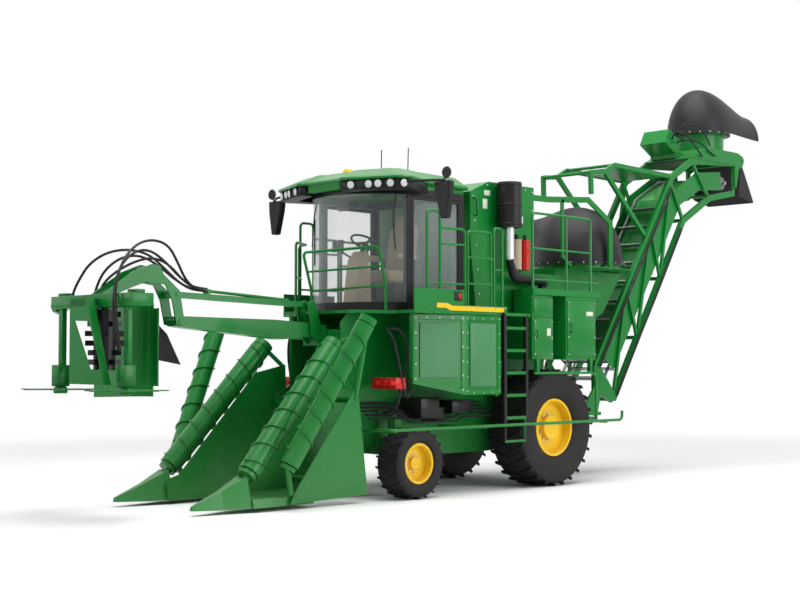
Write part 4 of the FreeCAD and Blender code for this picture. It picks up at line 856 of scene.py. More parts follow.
# %% Lamp lobes, aerials and beacon
lobe = [(2.30, 0.95), (2.84, 1.165), (3.015, 1.095), (3.295, 0.39), (3.245, 0.335),
        (3.11, 0.335), (2.87, 0.90), (2.30, 0.86)]
lobes = [both(plate(lobe, "z", roof - 0.060, roof + 0.066, 0.008))]
for x, y, tip in ((2.45, 0.25, 4.46), (1.90, 0.20, 4.55)):
    lobes.append(hose([(x, y, roof + 0.2), (x, y, roof + 0.4), (x - 0.01, y, tip)], 0.014))
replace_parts(settle(joined(lobes), "lamp_lobes", black_plastic, "chassis"), "lamp_band")
dome = [(0, 0.070), (0.02, 0.074), (0.08, 0.070), (0.11, 0.052), (0.12, 0.02)]
settle(placed(turned(dome, 24), (2.86, 0.06, 4.07)), "beacon", yellow, "chassis")

# %% [markdown]
# The work lamps sit along the slanted front edge of each lobe and look ahead and a
# little down. One lamp is turned with eight sides, for a squarish lens in its bezel, and
# copies are set along the edge, each turned to the way it looks.

# %% Work lamps
def copies(master, places):
    """Set copies of one part at many places, each with the way it faces, and join them."""
    twins = []
    for point, way in places:
        twin = twin_of(master)
        twin.location = point
        twin.rotation_mode = "QUATERNION"
        twin.rotation_quaternion = Vector(way).to_track_quat("Z", "Y")
        twins.append(twin)
    bpy.data.objects.remove(master)
    return joined(twins)


lamp_sides = 8
lens_clear = enamel("lamp_lens", (0.78, 0.80, 0.80), gloss=0.08, dusty=0.02)
edge_start, edge_end = Vector((3.015, 1.095, 3.905)), Vector((3.295, 0.390, 3.905))
ahead, aside = Vector((0.93, 0.37, -0.10)), Vector((0.37, 0.93, -0.1))
places = [(edge_start.lerp(edge_end, share), ahead) for share in (0.11, 0.33, 0.50, 0.82)]
places.append((Vector((2.93, 1.130, 3.905)), aside))
bezel = turned([(-0.01, 0.058), (0.012, 0.062), (0.018, 0.058), (0.012, 0.050)], lamp_sides)
settle(both(copies(bezel, places)), "lamp_bezels", black_plastic, "chassis")
lens = turned([(0, 0.051), (0.012, 0.051), (0.022, 0.042), (0.026, 0.018)], lamp_sides)
settle(both(copies(lens, places)), "lamp_lenses", lens_clear, "chassis")

# %% [markdown]
# Each mirror hangs out past the wheels on a bent arm. Its housing is a tapered shell, so
# it is cut to an outline and softened, and a thin pane closes its back. A small round
# mirror stands on top.

# %% Mirrors
arm = rail([(2.90, 1.08, 3.92), (2.90, 1.30, 3.92), (2.70, 1.60, 3.92)], 0.017)
housing = [(1.43, 3.912), (1.70, 3.912), (1.69, 3.74), (1.64, 3.45), (1.54, 3.45), (1.45, 3.77)]
shell = plate(housing, "x", 2.62, 2.72, 0.014)
stem = rail([(2.70, 1.595, 3.91), (2.70, 1.64, 4.01)], 0.012)
round_mirror = placed(turned([(0, 0.068), (0.01, 0.074), (0.025, 0.068)], 28),
                      (2.69, 1.64, 4.01), (0, math.pi / 2, 0))
mirror_parts = joined([arm, shell, stem, round_mirror])
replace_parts(settle(both(mirror_parts), "mirror_arms", black_plastic, "chassis"), "mirrors")
mirror_glass = metal("mirror_glass", (0.82, 0.85, 0.88), 0.02)
pane = [(1.455, 3.865), (1.68, 3.865), (1.625, 3.47), (1.555, 3.47)]
settle(both(plate(pane, "x", 2.616, 2.622, 0.001)), "mirror_panes", mirror_glass, "chassis")

# %% [markdown]
# ## Seat and console
# The seat is foam under woven cloth. Each cushion begins as a block, its sides pulled in
# and its crown raised, and a subdivision surface rounds it as a cover drawn over foam is.
# That keeps the edges soft without a seam to model.

# %% Seat cushions
def cushion(low, high, rise, lean, pull=0.86):
    """A crowned cushion whose sides pull in between its corners."""
    clear()
    low, high = Vector(low), Vector(high)
    bpy.ops.mesh.primitive_cube_add(size=1, location=(low + high) / 2, scale=high - low)
    bpy.ops.object.transform_apply(location=False, rotation=False, scale=True)
    piece = bpy.context.object
    edit(piece)
    bpy.ops.mesh.subdivide(number_cuts=3)
    mesh = bmesh.from_edit_mesh(piece.data)
    half = (high - low) / 2
    thin = min(range(3), key=lambda axis: half[axis])
    wide = [axis for axis in range(3) if axis != thin]
    for corner in mesh.verts:
        share = [corner.co[axis] / half[axis] for axis in range(3)]
        inside = (1 - share[wide[0]] ** 2) * (1 - share[wide[1]] ** 2)
        corner.co[thin] += share[thin] * rise * inside
        for axis, other in (wide, wide[::-1]):
            hollow = (1 - pull) * 0.25 * (1 - share[other] ** 2)
            corner.co[axis] *= 1 - hollow - 0.06 * abs(share[thin])
        corner.co.x -= lean * (corner.co.z + half.z)
    bmesh.update_edit_mesh(piece.data)
    pick(piece)
    soft = piece.modifiers.new("soft", "SUBSURF")
    soft.levels = soft.render_levels = 2
    bpy.ops.object.modifier_apply(modifier=soft.name)
    return piece


# Each pad's two corners, measured from the cab's floor, the rise of its crown and its lean.
floor_z = 2.45
pads = {
    "seat_cushion": ((1.80, -0.26, 0.29), (2.32, 0.26, 0.45), 0.035, 0.0),
    "seat_back": ((1.80, -0.25, 0.40), (1.93, 0.25, 1.08), 0.030, 0.16),
    "head_rest": ((1.69, -0.15, 1.05), (1.80, 0.15, 1.25), 0.020, 0.05),
    "arm_rest_left": ((1.86, 0.27, 0.60), (2.24, 0.35, 0.67), 0.012, 0.0),
    "arm_rest_right": ((1.86, -0.35, 0.60), (2.24, -0.27, 0.67), 0.012, 0.0),
}
for name, (low, high, rise, lean) in pads.items():
    low, high = [(x, y, floor_z + z) for x, y, z in (low, high)]
    pad = settle(cushion(low, high, rise, lean), name, seat_cloth, "chassis", 60)
base = joined([bar((1.86, -0.18, floor_z), (2.12, 0.18, floor_z + 0.30), 0.02),
               bar((1.84, -0.30, floor_z + 0.36), (1.89, 0.30, floor_z + 0.62), 0.01)])
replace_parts(settle(base, "seat_pedestal", black_plastic, "chassis"), "seat")

# %% [markdown]
# The steering wheel is a thin padded ring, tilted to the driver on its column, with two
# spokes. A torus is the ring, and bars give it its spokes. A small screen stands beside
# it, and the stand under it is one tan moulding cut to its side view.

# %% Steering wheel, screen and stand
wheel_z, spoke = floor_z + 0.81, 0.012
clear()
bpy.ops.mesh.primitive_torus_add(location=(2.50, 0, wheel_z), rotation=(0, math.radians(-27), 0),
                                 major_radius=0.19, minor_radius=0.015, major_segments=40,
                                 minor_segments=10)
wheel = [bpy.context.object,
         rail([(2.59, 0, floor_z + 0.63), (2.50, 0, floor_z + 0.80)], 0.026),
         rail([(2.50, -0.19, wheel_z), (2.50, 0.19, wheel_z)], spoke),
         rail([(2.50, 0, wheel_z), (2.34, 0, floor_z + 0.725)], spoke),
         bar((2.66, -0.43, floor_z + 0.69), (2.69, -0.23, floor_z + 0.85), 0.008),
         rail([(2.64, -0.10, floor_z + 0.60), (2.68, -0.33, floor_z + 0.72)], 0.014)]
settle(joined(wheel), "wheel_and_screen", black_plastic, "chassis")
console = plate([(2.48, floor_z), (2.80, floor_z), (2.72, floor_z + 0.56),
                 (2.60, floor_z + 0.70), (2.52, floor_z + 0.64)], "y", -0.12, 0.12, 0.02)
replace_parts(settle(console, "steering_stand", tan_plastic, "chassis"), "steering_console")

# %% [markdown]
# ## Side doors and cabinets
# The service door folds back towards the cab in a second facet, and each facet has a
# panel pressed a few millimetres in. The door is cut to its plan, its underside is
# bisected and raised to a slope, and the two big faces are inset and pushed in.

# %% Side doors
door_fold, sill, sill_slope = 1.92, 1.275, 0.19


def side_door():
    """A two-facet door with a pressed panel in each facet."""
    plan = [(1.23, 1.245), (door_fold, 1.245), (2.70, 1.065), (2.70, 1.035),
            (door_fold, 1.215), (1.23, 1.215)]
    piece = plate(plan, "z", 1.26, 2.29, 0)
    edit(piece)
    bpy.ops.mesh.bisect(plane_co=(door_fold, 1.2, sill), plane_no=(-0.187, 0, 0.982),
                        use_fill=False)
    clear()
    mesh = bmesh.new()
    mesh.from_mesh(piece.data)
    for corner in mesh.verts:
        lowest = sill + max(0.0, corner.co.x - door_fold) * sill_slope
        corner.co.z = max(corner.co.z, lowest)
    bmesh.ops.remove_doubles(mesh, verts=mesh.verts, dist=0.0005)
    mesh.to_mesh(piece.data)
    mesh.free()
    for flat in (True, False):
        edit(piece, "FACE", lambda face: face.normal.y > 0.9 and (face.normal.x < 0.1) == flat
             and face.calc_area() > 0.3)
        bpy.ops.mesh.inset(thickness=0.060, depth=0)
        bpy.ops.mesh.inset(thickness=0.006, depth=-0.010)
    clear()
    return piece


door = side_door()
for word, piece in (("left", door), ("right", mirrored(door))):
    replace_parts(settle(piece, "pressed_door_" + word, green, "side_door_" + word, 20),
                "side_door_" + word)

# %% [markdown]
# Behind the ladder stand steel cabinets with a notch between them. Two plates cut to the
# same stepped plan, one deeper than the other, make the boxes. Their doors are thin
# blocks that stand a little proud, and a step bar hangs below on two straps.

# %% Cabinets
front = [(-0.83, 1.25), (-0.15, 1.25), (-0.15, 0.97), (-0.04, 0.97), (0.11, 1.23), (0.56, 1.23)]
boxes = [plate(front + [(0.56, back), (-0.83, back)], "z", low, high, 0.006)
         for back, low, high in ((0.48, 1.73, 2.30), (0.90, 2.30, 2.60))]
boxes.append(rail([(0.56, 1.26, 1.545), (-0.74, 1.26, 1.545), (-0.82, 1.26, 1.49),
                   (-0.82, 1.26, 0.875)], 0.018))
boxes += [bar((-0.80, 1.248, 1.78), (-0.18, 1.262, 2.54)),
          bar((0.14, 1.228, 1.78), (0.53, 1.242, 2.26)),
          bar((0.14, 1.228, 2.33), (0.53, 1.242, 2.56))]
boxes += [bar((x - 0.025, 1.21, 1.535), (x + 0.025, 1.27, 1.74)) for x in (0.48, -0.70)]
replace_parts(settle(both(joined(boxes)), "cabinet_boxes", green, "chassis"), "cabinets")

# %% [markdown]
# ## Topper head
# Two arched plates carry a cross beam in front of the boom. From the beam hang the motor
# columns of the gathering stars, a guard plate with a slanted opening, and the curved
# sheet that throws the cut tops aside. All of it is cut and bent sheet, so nearly all of
# it is plate cut to an outline.

# %% Arch, beam and columns
arch = [(5.505, 2.185), (5.525, 2.11), (5.615, 2.12), (5.68, 2.40), (5.775, 2.57), (6.01, 2.60),
        (6.22, 2.525), (6.56, 2.39), (6.60, 2.44), (6.22, 2.70), (5.955, 2.80), (5.845, 2.784),
        (5.795, 2.687), (5.57, 2.51)]
column = [bar((6.60, 0.60, 1.62), (6.66, 0.68, 2.30), 0.006),
          bar((6.575, 0.565, 1.42), (6.725, 0.715, 1.66), 0.010),
          bar((6.50, 0.60, 2.43), (6.62, 0.76, 2.47), 0.006)]
head = [both(plate(arch, "y", 0.105, 0.125, 0.003)),
        bar((6.40, -0.78, 2.29), (6.70, 0.78, 2.43), 0.008),
        rail([(5.56, -0.135, 2.16), (5.56, 0.135, 2.16)], 0.028),
        rail([(5.61, -0.135, 2.47), (5.61, 0.135, 2.47)], 0.022),
        both(joined(column)),
        rail([(6.56, -0.78, 2.33), (6.56, -0.86, 2.33)], 0.095),
        rail([(6.50, 0, 2.16), (6.50, 0, 2.32)], 0.040)]
print("the head has", len(head), "parts so far")

# %% [markdown]
# The guard plate has a hole, which one outline can't have. So it is laid out in four
# flat pieces round the opening, edge to edge, with a lip along its slanted side.

# %% Guard plate
guard_back, guard_front, lip_back = 6.84, 6.85, 6.76
guard = [[(-0.15, 2.40), (0.17, 2.39), (0.20, 2.30), (0.228, 2.13), (-0.054, 2.14), (-0.15, 2.20)],
         [(-0.15, 2.20), (-0.054, 2.14), (0.257, 1.617), (0.16, 1.45), (-0.15, 1.452)],
         [(0.257, 1.617), (0.39, 1.606), (0.44, 1.62), (0.506, 1.448), (0.16, 1.45)],
         [(0.228, 2.13), (0.20, 2.30), (0.17, 2.39), (0.506, 1.448), (0.44, 1.62),
          (0.407, 1.734)]]
lip = [(0.165, 2.39), (0.180, 2.39), (0.520, 1.448), (0.505, 1.448)]
head += [plate(outline, "x", guard_back, guard_front, 0) for outline in guard]
head += [plate(lip, "x", lip_back, guard_front), bar((6.68, -0.15, 2.29), (6.85, 0.16, 2.38))]

# %% [markdown]
# The deflector is a quarter of a drum with a straight tail. Its section is drawn as two
# arcs, outer and inner, and extruded upwards. A rubber apron hangs beside it and takes
# the blows of the tops that miss.

# %% Deflector and apron
bend_x, outer_radius, inner_radius, sheet_low, sheet_high = 6.05, 0.21, 0.198, 1.30, 2.36
turns = [math.radians(180 + 90 * step / 8) for step in range(9)]
bend = [(bend_x + outer_radius * math.cos(turn), outer_radius * math.sin(turn)) for turn in turns]
bend += [(bend_x + inner_radius * math.cos(turn), inner_radius * math.sin(turn))
         for turn in reversed(turns)]
wing = [(5.84, 0.0), (5.852, 0.0), (5.90, 0.16), (5.93, 0.19), (5.92, 0.20), (5.888, 0.165)]
tail = [(bend_x, -0.21), (6.46, -0.26), (6.46, -0.248), (bend_x, -0.198)]
head += [plate(bend, "z", sheet_low, sheet_high, 0), plate(wing, "z", 1.42, 2.30, 0),
         plate(tail, "z", sheet_low, sheet_high, 0)]
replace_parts(settle(joined(head), "topper_head_frame", green, "topper_head"), "topper_head")
flap = [(6.05, 2.32), (5.76, 2.24), (5.50, 2.02), (5.30, 1.66), (5.72, 1.73), (6.05, 1.70)]
apron = plate(flap, "y", -0.225, -0.215, 0.001)
settle(apron, "topper_apron", black_rubber, "topper_head")

# %% [markdown]
# The gathering stars draw the tops in with seven hooked fingers. Each finger is three
# points of the outline: the root, the tip, and the hollow of the hook behind it.

# %% Gathering stars
star_radius, fingers = 0.46, 7


def star(x, y):
    """A gathering star: hooked fingers round a hub, cut from plate."""
    outline = []
    for number in range(fingers):
        for share, shift in ((0.66, -0.5), (1.0, 0.0), (0.72, 0.16)):
            angle, reach = math.tau / fingers * (number + shift), star_radius * share
            outline.append((x + reach * math.cos(angle), y + reach * math.sin(angle)))
    hub = turned([(-0.03, 0.075), (0.0, 0.08), (0.045, 0.07), (0.05, 0.045), (0.10, 0.045)], 24)
    return joined([plate(outline, "z", 1.380, 1.394), placed(hub, (x, y, 1.37))])


for word, side in flanks.items():
    piece = settle(star(6.65, 0.64 * side), "gathering_star_" + word, green, "gatherer_" + word)
    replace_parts(piece, "gatherer_" + word)

# %% [markdown]
# ## Topper hoses
# Oil reaches the topper's motors through rubber hoses that leave the pipes on the upper
# link, rise in wide arcs, and come down on the head, so that nothing kinks when the boom
# lifts. Each hose spans the joint between the boom and the head, so it is given to
# neither body.

# %% Hose finish and the topper's hoses
hose_rubber = moulded("hose_rubber", (0.010, 0.010, 0.011), 0.40, 420.0, 0.35)
topper_hoses = {
    "outer": [(5.10, -0.03, 2.53), (5.24, -0.05, 2.53), (5.40, -0.09, 2.60), (5.56, -0.16, 2.76),
              (5.74, -0.24, 2.94), (5.99, -0.30, 2.99), (6.24, -0.37, 2.94), (6.42, -0.45, 2.80),
              (6.50, -0.52, 2.62), (6.54, -0.56, 2.50), (6.56, -0.56, 2.43)],
    "tall": [(5.10, 0.03, 2.53), (5.26, 0.04, 2.53), (5.44, 0.06, 2.63), (5.58, 0.10, 2.82),
             (5.75, 0.15, 3.02), (6.00, 0.20, 3.07), (6.30, 0.32, 3.00), (6.56, 0.45, 2.82),
             (6.74, 0.56, 2.56), (6.79, 0.63, 2.20), (6.74, 0.66, 1.80)],
    "middle": [(5.10, 0.00, 2.53), (5.30, -0.02, 2.54), (5.52, -0.04, 2.64), (5.74, -0.06, 2.80),
               (5.96, -0.10, 2.91), (6.18, -0.15, 2.88), (6.36, -0.20, 2.74), (6.44, -0.25, 2.56),
               (6.46, -0.27, 2.43)],
    "low": [(5.10, 0.015, 2.55), (5.30, 0.02, 2.56), (5.46, 0.02, 2.64), (5.64, 0.03, 2.80),
            (5.86, 0.04, 2.88), (6.08, 0.02, 2.84), (6.30, -0.05, 2.72), (6.46, -0.12, 2.56),
            (6.50, -0.14, 2.43)],
    "left": [(5.10, -0.015, 2.55), (5.30, 0.03, 2.55), (5.52, 0.06, 2.66), (5.76, 0.12, 2.82),
             (6.02, 0.18, 2.95), (6.30, 0.28, 2.92), (6.58, 0.40, 2.74), (6.74, 0.52, 2.44),
             (6.79, 0.59, 2.10), (6.74, 0.62, 1.82)],
}
for word, points in topper_hoses.items():
    arc = settle(hose(points, 0.030), "topper_hose_" + word, hose_rubber)
    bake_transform(arc)

# %% [markdown]
# ## Small fasteners
# Sheet panels are bolted on every few hundred millimetres, and the rows of heads give a
# big wall its scale. A bolt is a hexagon head on its washer, both turned, and its copies
# are set in rows. Each row set is one piece, so that the parts list stays short.

# %% Bolts and rows
def bolt(size=0.011):
    """A hexagon head on its washer, standing on the z = 0 plane."""
    washer = turned([(0, size * 1.25), (0.003, size * 1.25)], 12)
    hexagon = turned([(0.003, size * 0.85), (size * 0.8, size * 0.85),
                      (size * 0.95, size * 0.6)], 6)
    return joined([washer, hexagon])


def row(start, end, count):
    """Points evenly spread from one point to another, both ends in."""
    start, end = Vector(start), Vector(end)
    return [start.lerp(end, number / (count - 1)) for number in range(count)]


# %% [markdown]
# The door's bolts run round both facets. Those on the second facet are tilted with it.

# %% Bolts round the side doors
flat_y = 1.2455
flat_frame = (row((1.26, flat_y, 1.32), (1.26, flat_y, 2.25), 6)
              + row((1.89, flat_y, 1.32), (1.89, flat_y, 2.25), 6)
              + row((1.40, flat_y, 2.25), (1.76, flat_y, 2.25), 3)
              + row((1.40, flat_y, 1.30), (1.76, flat_y, 1.30), 3))
slant_frame = (row((1.96, 1.2363, 1.34), (1.96, 1.2363, 2.25), 6)
               + row((2.66, 1.0748, 1.48), (2.66, 1.0748, 2.25), 5)
               + row((2.12, 1.1993, 2.255), (2.50, 1.1117, 2.255), 3))
for word, side in flanks.items():
    places = [((x, side * y, z), (0, side, 0)) for x, y, z in flat_frame]
    places += [((x, side * y, z), (0.225, side * 0.974, 0)) for x, y, z in slant_frame]
    settle(copies(bolt(0.009), places), "door_bolts_" + word, steel, "side_door_" + word)

# %% [markdown]
# The middle of each facet is a finely pierced screen that lets the engine breathe. The
# holes are too small to see as holes, so a thin sheet in a paler, duller green stands
# for them. Both sides are made at once and then parted at the middle plane.

# %% Door screens
def halves(piece):
    """A piece parted at the middle plane into its left and its right half."""
    other = twin_of(piece)
    for part, side in ((piece, -1), (other, 1)):
        edit(part)
        mesh = bmesh.from_edit_mesh(part.data)
        beyond = [corner for corner in mesh.verts if corner.co.y * side > 0]
        bmesh.ops.delete(mesh, geom=beyond, context="VERTS")
        bmesh.update_edit_mesh(part.data)
    clear()
    return {"right": other, "left": piece}


screen_green = enamel("screen_green", (0.060, 0.235, 0.095), gloss=0.55)
slant_screen = [(2.02, 1.2215), (2.60, 1.0877), (2.60, 1.0912), (2.02, 1.2250)]
screens = both(joined([bar((1.33, 1.2435, 1.38), (1.83, 1.2468, 2.19), 0.001),
                       plate(slant_screen, "z", 1.50, 2.19)]))
for word, half in halves(screens).items():
    settle(half, "door_screen_" + word, screen_green, "side_door_" + word)

# %% [markdown]
# The other panels are flat and upright, so their rows are given for the left side, and
# the same rows with y turned round serve the right.

# %% Bolts on the hood, cabinets and skirt
hood_y, wide_y, narrow_y, skirt_y = 0.8605, 1.2625, 1.2425, 1.2305
body_rows = [row((0.10, hood_y, 2.80), (0.10, hood_y, 4.05), 6),
             row((0.25, hood_y, 4.07), (1.05, hood_y, 4.07), 6),
             row((1.22, hood_y, 2.60), (1.33, hood_y, 3.90), 5)]
body_rows += [row((x, wide_y, 1.80), (x, wide_y, 2.52), 4) for x in (-0.79, -0.19)]
body_rows += [row((x, narrow_y, 1.80), (x, narrow_y, 2.24), 3) for x in (0.155, 0.515)]
body_rows.append(row((1.12, skirt_y, 2.40), (1.88, skirt_y, 2.40), 5))
body_places = [((x, side * y, z), (0, side, 0)) for side in (1, -1) for points in body_rows
               for x, y, z in points]
settle(copies(bolt(), body_places), "body_bolts", steel, "chassis")

# %% [markdown]
# Wheel nuts stand in a ring on the rim's disc, round the hub. One nut is laid on its
# side at the top of the ring and turned round the axle, as the lugs were.

# %% Wheel nuts
# The ring's radius, how far the disc stands out from the middle of the wheel, how many
# nuts there are, and their size.
nut_rings = {"rear": (0.18, 0.115, 10, 0.020), "front": (0.105, 0.052, 8, 0.013)}
for word, side in flanks.items():
    for place, (ring_radius, face, count, size) in nut_rings.items():
        x, out, up = wheels[place][:3]
        nut = placed(bolt(size), (x, side * (out + face), up + ring_radius),
                     (-side * math.pi / 2, 0, 0))
        settle(ringed(nut, (x, side * out, up), count), place + "_wheel_nuts_" + word, steel,
               place + "_wheel_" + word)

# %% [markdown]
# ## Trim on the flanks
# A yellow stripe with a step in it runs along the deck's skirt. A switch plate, blank
# sign plates, a grab handle and door handles break up the big green walls. Signs are
# thin blocks with nothing written on them.

# %% Stripe and switch
stripe = plate([(1.145, 2.345), (1.145, 2.405), (2.16, 2.405), (2.24, 2.435), (2.44, 2.435),
                (2.44, 2.375), (2.27, 2.375), (2.19, 2.345)], "y", 1.2301, 1.2335, 0.001)
settle(both(stripe), "skirt_stripe", yellow, "chassis")
settle(bar((1.98, 1.230, 2.47), (2.11, 1.240, 2.59)), "switch_plate", black_plastic, "chassis")
settle(bar((2.00, 1.2395, 2.495), (2.05, 1.248, 2.565)), "switch_knob", red_paint, "chassis")

# %% [markdown]
# Signs sit flush on three walls. Handles are round bar bent into a U, like a short rail.

# %% Sign plates and handles
pale_plate = enamel("blank_plate", (0.72, 0.70, 0.62), gloss=0.3, dusty=0.03)
hood_sign, wide_sign, narrow_sign = (0.8602, 0.8625), (1.2622, 1.2640), (1.2422, 1.2440)
signs = [(0.99, 1.11, hood_sign, 3.93, 4.00), (1.05, 1.14, hood_sign, 3.75, 3.88),
         (0.30, 0.42, hood_sign, 3.60, 3.70), (-0.75, -0.60, wide_sign, 2.34, 2.40),
         (0.18, 0.26, narrow_sign, 2.05, 2.15)]
blanks = [bar((back, inner, low), (front_end, outer, high), 0.001)
          for back, front_end, (inner, outer), low, high in signs]
settle(joined(blanks), "blank_plates", pale_plate, "chassis")
grips = [rail([(1.33, 0.861, 3.87), (1.33, 0.905, 3.87), (1.30, 0.905, 3.64),
               (1.30, 0.861, 3.64)], 0.009, 0.02),
         rail([(-0.22, 1.262, 2.10), (-0.22, 1.295, 2.10), (-0.22, 1.295, 2.22),
               (-0.22, 1.262, 2.22)], 0.007, 0.012),
         rail([(0.50, 1.242, 2.02), (0.50, 1.272, 2.02), (0.50, 1.272, 2.12),
               (0.50, 1.242, 2.12)], 0.007, 0.012)]
settle(both(joined(grips)), "grab_handles", black_plastic, "chassis")

# %% [markdown]
# The air cleaner's can is held by clamp bands: short rings, a few millimetres wider than
# the can, each turned like a flat pulley.

# %% Bands round the intake's can
band = [(0, 0.1655), (0.008, 0.170), (0.030, 0.170), (0.038, 0.1655)]
bands = [placed(turned(band, 40), (0.80, 1.04, level)) for level in (3.52, 3.78, 4.06)]
settle(joined(bands), "intake_bands", black_plastic, "chassis")

# %% [markdown]
# ## Hoses and pipes on the flanks
# Between the divider and the door hang oil hoses in loose loops, slack enough for the
# divider to lift, with a red valve block behind them. A run of pipes lies under the
# doors along the frame, between gearboxes whose black is painted shade under the doors.

# %% Loops and valve block
loops = {
    "front": [(2.98, 0.90, 2.08), (2.96, 0.98, 2.00), (2.94, 1.02, 1.80), (2.90, 1.04, 1.60),
              (2.84, 1.03, 1.36), (2.76, 1.02, 1.22), (2.66, 0.98, 1.34), (2.66, 0.90, 1.50)],
    "long": [(2.96, 0.86, 2.10), (2.90, 0.98, 2.12), (2.82, 1.04, 2.02), (2.78, 1.05, 1.85),
             (2.78, 1.04, 1.62), (2.80, 1.00, 1.48)],
    "short": [(2.86, 1.00, 1.42), (2.90, 1.04, 1.28), (2.94, 1.02, 1.14), (2.96, 0.94, 1.08),
              (2.96, 0.80, 1.06)],
}
for word, points in loops.items():
    settle(both(hose(points, 0.032)), "side_hose_" + word, hose_rubber, "chassis")
spool = [(0, 0.036), (0.05, 0.036), (0.055, 0.028), (0.075, 0.028)]
valve_parts = [bar((2.80, 0.62, 1.36), (2.98, 1.04, 1.50), 0.008)]
valve_parts += [placed(turned(spool, 18), (2.98, out, 1.43), (0, math.pi / 2, 0))
                for out in (0.76, 0.90, 1.0)]
settle(both(joined(valve_parts)), "valve_block", red_paint, "chassis")

# %% [markdown]
# Five pipes step down and back up over the frame's brackets, side by side, in two sizes.

# %% Pipes along the frame, and gearboxes in painted shade
pipes = []
for number in range(5):
    level, out = 1.16 - number * 0.045, 0.56 + number * 0.06
    dip, shift = level - 0.05, out + 0.04
    pipes.append(rail([(0.9, out, level), (1.5, out, level), (1.62, shift, dip),
                       (2.5, shift, dip), (2.62, out, level + 0.02), (3.2, out, level + 0.02)],
                      0.014 + 0.003 * (number % 2)))
settle(both(joined(pipes)), "frame_pipes", hose_rubber, "chassis")
# The gearboxes are real parts, but their black is painted shade for the shadow under the doors.
gearboxes_in_painted_shade = [bar((1.35, 0.50, 1.02), (1.75, 0.86, 1.20), 0.02),
             bar((2.05, 0.50, 0.98), (2.40, 0.92, 1.24), 0.02),
             bar((1.82, 0.50, 0.92), (1.98, 0.80, 1.12), 0.02)]
settle(both(joined(gearboxes_in_painted_shade)), "frame_gearboxes_painted_shade", black_paint, "chassis")

# %% [markdown]
# ## Hoods, screen and elevator
# Each hood turns on a ring that is bolted round its foot. The bolts face outwards, so
# they are set on a circle, each looking away from its middle.

# %% Hood bolts
def ring_places(x, y, level, radius, count):
    """Places round an upright axis, each facing outwards."""
    places = []
    for number in range(count):
        angle = math.tau * number / count
        way = Vector((math.cos(angle), math.sin(angle), 0))
        places.append((Vector((x, y, level)) + way * radius, way))
    return places


settle(copies(bolt(0.010), ring_places(-2.05, 0, 3.183, 0.721, 24)), "primary_hood_bolts",
       steel, "primary_hood")
settle(copies(bolt(0.009), ring_places(-5.48, 0, 5.582, 0.541, 20)), "secondary_hood_bolts",
       steel, "secondary_hood")

# %% [markdown]
# Wipers lie on the screen and on the left pane, and two small mirrors hang inside from
# the header. They are bars and rails thin enough that only their line is read.

# %% Wipers and inside mirrors
wire = 0.008
wipers = [rail([(3.02, -0.33, 3.84), (3.06, -0.37, 3.60), (2.98, -0.50, 3.20)], wire),
          bar((3.00, -0.43, 2.95), (3.012, -0.41, 3.55), 0.003),
          rail([(2.72, 0.80, 3.84), (2.78, 0.79, 3.50), (2.74, 0.80, 3.10)], wire)]
settle(joined(wipers), "wipers", black_plastic, "chassis")
inside = [bar((2.69, -0.30, 3.67), (2.71, -0.09, 3.77), 0.01),
          rail([(2.70, -0.19, 3.76), (2.70, -0.19, 3.83)], wire),
          bar((2.78, 0.18, 3.66), (2.80, 0.34, 3.74), 0.01),
          rail([(2.79, 0.26, 3.73), (2.79, 0.26, 3.83)], wire)]
settle(joined(inside), "inside_mirrors", black_plastic, "chassis")

# %% [markdown]
# Oil climbs the elevator in pairs of hoses beside its frame, which sag a little between
# their clips, and three short hoses loop over to the fan's motor at its head.

# %% Hoses on the elevator
head_loops = [[(-4.55, 0.18, 5.45), (-4.45, 0.30, 5.62), (-4.70, 0.44, 5.66),
               (-4.95, 0.49, 5.50), (-5.06, 0.50, 5.32)],
              [(-4.45, 0.16, 5.40), (-4.30, 0.30, 5.52), (-4.42, 0.46, 5.44),
               (-4.60, 0.52, 5.24), (-4.80, 0.52, 5.10)],
              [(-4.60, 0.16, 5.36), (-4.55, 0.36, 5.40), (-4.80, 0.50, 5.34),
               (-5.02, 0.52, 5.20), (-5.20, 0.51, 5.16)]]
settle(joined([hose(points, 0.028) for points in head_loops]), "head_motor_hoses", hose_rubber,
       "elevator")
sag = ((0, 0), (0.3, 0.02), (0.6, -0.02), (1, 0))
climbs = {"upper": ((-1.95, 1.62), (-3.92, 4.50)), "lower": ((-2.38, 1.18), (-4.20, 3.86))}
for word, ((foot_x, foot_z), (head_x, head_z)) in climbs.items():
    line = [(foot_x + (head_x - foot_x) * share, 0.50, foot_z + (head_z - foot_z) * share + lift)
            for share, lift in sag]
    beside = [(x + 0.03, y, z + 0.02) for x, y, z in line]
    settle(joined([hose(line, 0.024), hose(beside, 0.018)]), "elevator_hoses_" + word,
           hose_rubber, "elevator")

# %% [markdown]
# ## Studio
# The floor is pale and wide, and fades into plain white from just past the machine's
# ends, so that it keeps the shadow and shows no edge. Only the camera sees the fade.

# %% Floor
fade_start, fade_end = 7.5, 16.0


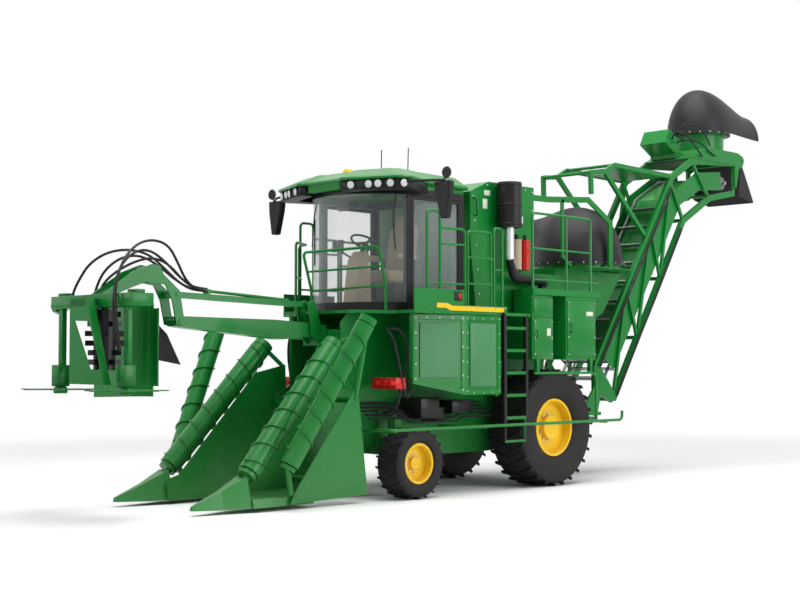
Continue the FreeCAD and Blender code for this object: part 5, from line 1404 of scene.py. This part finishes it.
def studio_floor():
    """A wide floor that fades into the backdrop."""
    clear()
    bpy.ops.mesh.primitive_plane_add(size=240, location=(0, 0, 0))
    floor = bpy.context.object
    floor.name = "studio_floor"
    finish = Finish("studio_white", Base_Color=(0.86, 0.86, 0.86), Roughness=0.9,
                    Specular_IOR_Level=0.1)
    x, y, z = finish.split(finish.place())
    far = finish.node("MapRange", {"interpolation_type": "SMOOTHSTEP"},
                      Value=(x * x + y * y) ** 0.5, From_Min=fade_start, From_Max=fade_end)
    glow = finish.node("Emission", Color=(1.0, 1.0, 1.0), Strength=1.0)
    seen = finish.node("LightPath", output=0)
    shader = Wire(finish.tree, finish.shader.outputs[0])
    blend = finish.node("MixShader", Fac=far * seen, i1=shader, i2=glow)
    out = finish.tree.nodes["Material Output"]
    finish.tree.links.new(blend.socket, out.inputs["Surface"])
    floor.data.materials.append(finish.material)
    return floor


floor = studio_floor()
print("floor is", floor.dimensions.x, "m wide")

# %% [markdown]
# One large soft light hangs overhead. A weak one fills the front, and one on the left
# brings out the flank that faces the camera.

# %% Lights
def softbox(name, place, aim, size, power):
    """A square area light that looks at a point."""
    data = bpy.data.lights.new(name, "AREA")
    data.shape = "SQUARE"
    data.size = size
    data.energy = power
    lamp = bpy.data.objects.new(name, data)
    bpy.context.scene.collection.objects.link(lamp)
    lamp.location = place
    lamp.rotation_mode = "QUATERNION"
    lamp.rotation_quaternion = (Vector(aim) - Vector(place)).to_track_quat("-Z", "Y")
    return lamp


softbox("overhead_softbox", (1, 2, 16), (0, 0, 0), 15, 3600)
softbox("front_softbox", (18, -6, 8), (0, 0, 2), 8, 500)
softbox("side_softbox", (-6, 20, 7), (-1, 0, 2.5), 12, 1700)

# %% [markdown]
# The backdrop is plain white to the camera, to the shine and to what passes through
# glass, and a third as strong to everything else, so that it doesn't flood the paint.

# %% Backdrop
ambient = 0.34
world = bpy.data.worlds.new("backdrop")
bpy.context.scene.world = world
world.use_nodes = True
sky = world.node_tree
paths = sky.nodes.new("ShaderNodeLightPath")
camera_ray, glossy_ray, glass_ray = [
    Wire(sky, paths.outputs[name])
    for name in ("Is Camera Ray", "Is Glossy Ray", "Is Transmission Ray")]
straight = camera_ray + glossy_ray
seen_by = straight.math("ADD", straight, glass_ray, clamp=True)
backdrop = sky.nodes["Background"]
plug(sky, backdrop.inputs["Color"], (1.0, 1.0, 1.0))
plug(sky, backdrop.inputs["Strength"], seen_by * (1 - ambient) + ambient)
bpy.context.scene.view_settings.view_transform = "Standard"
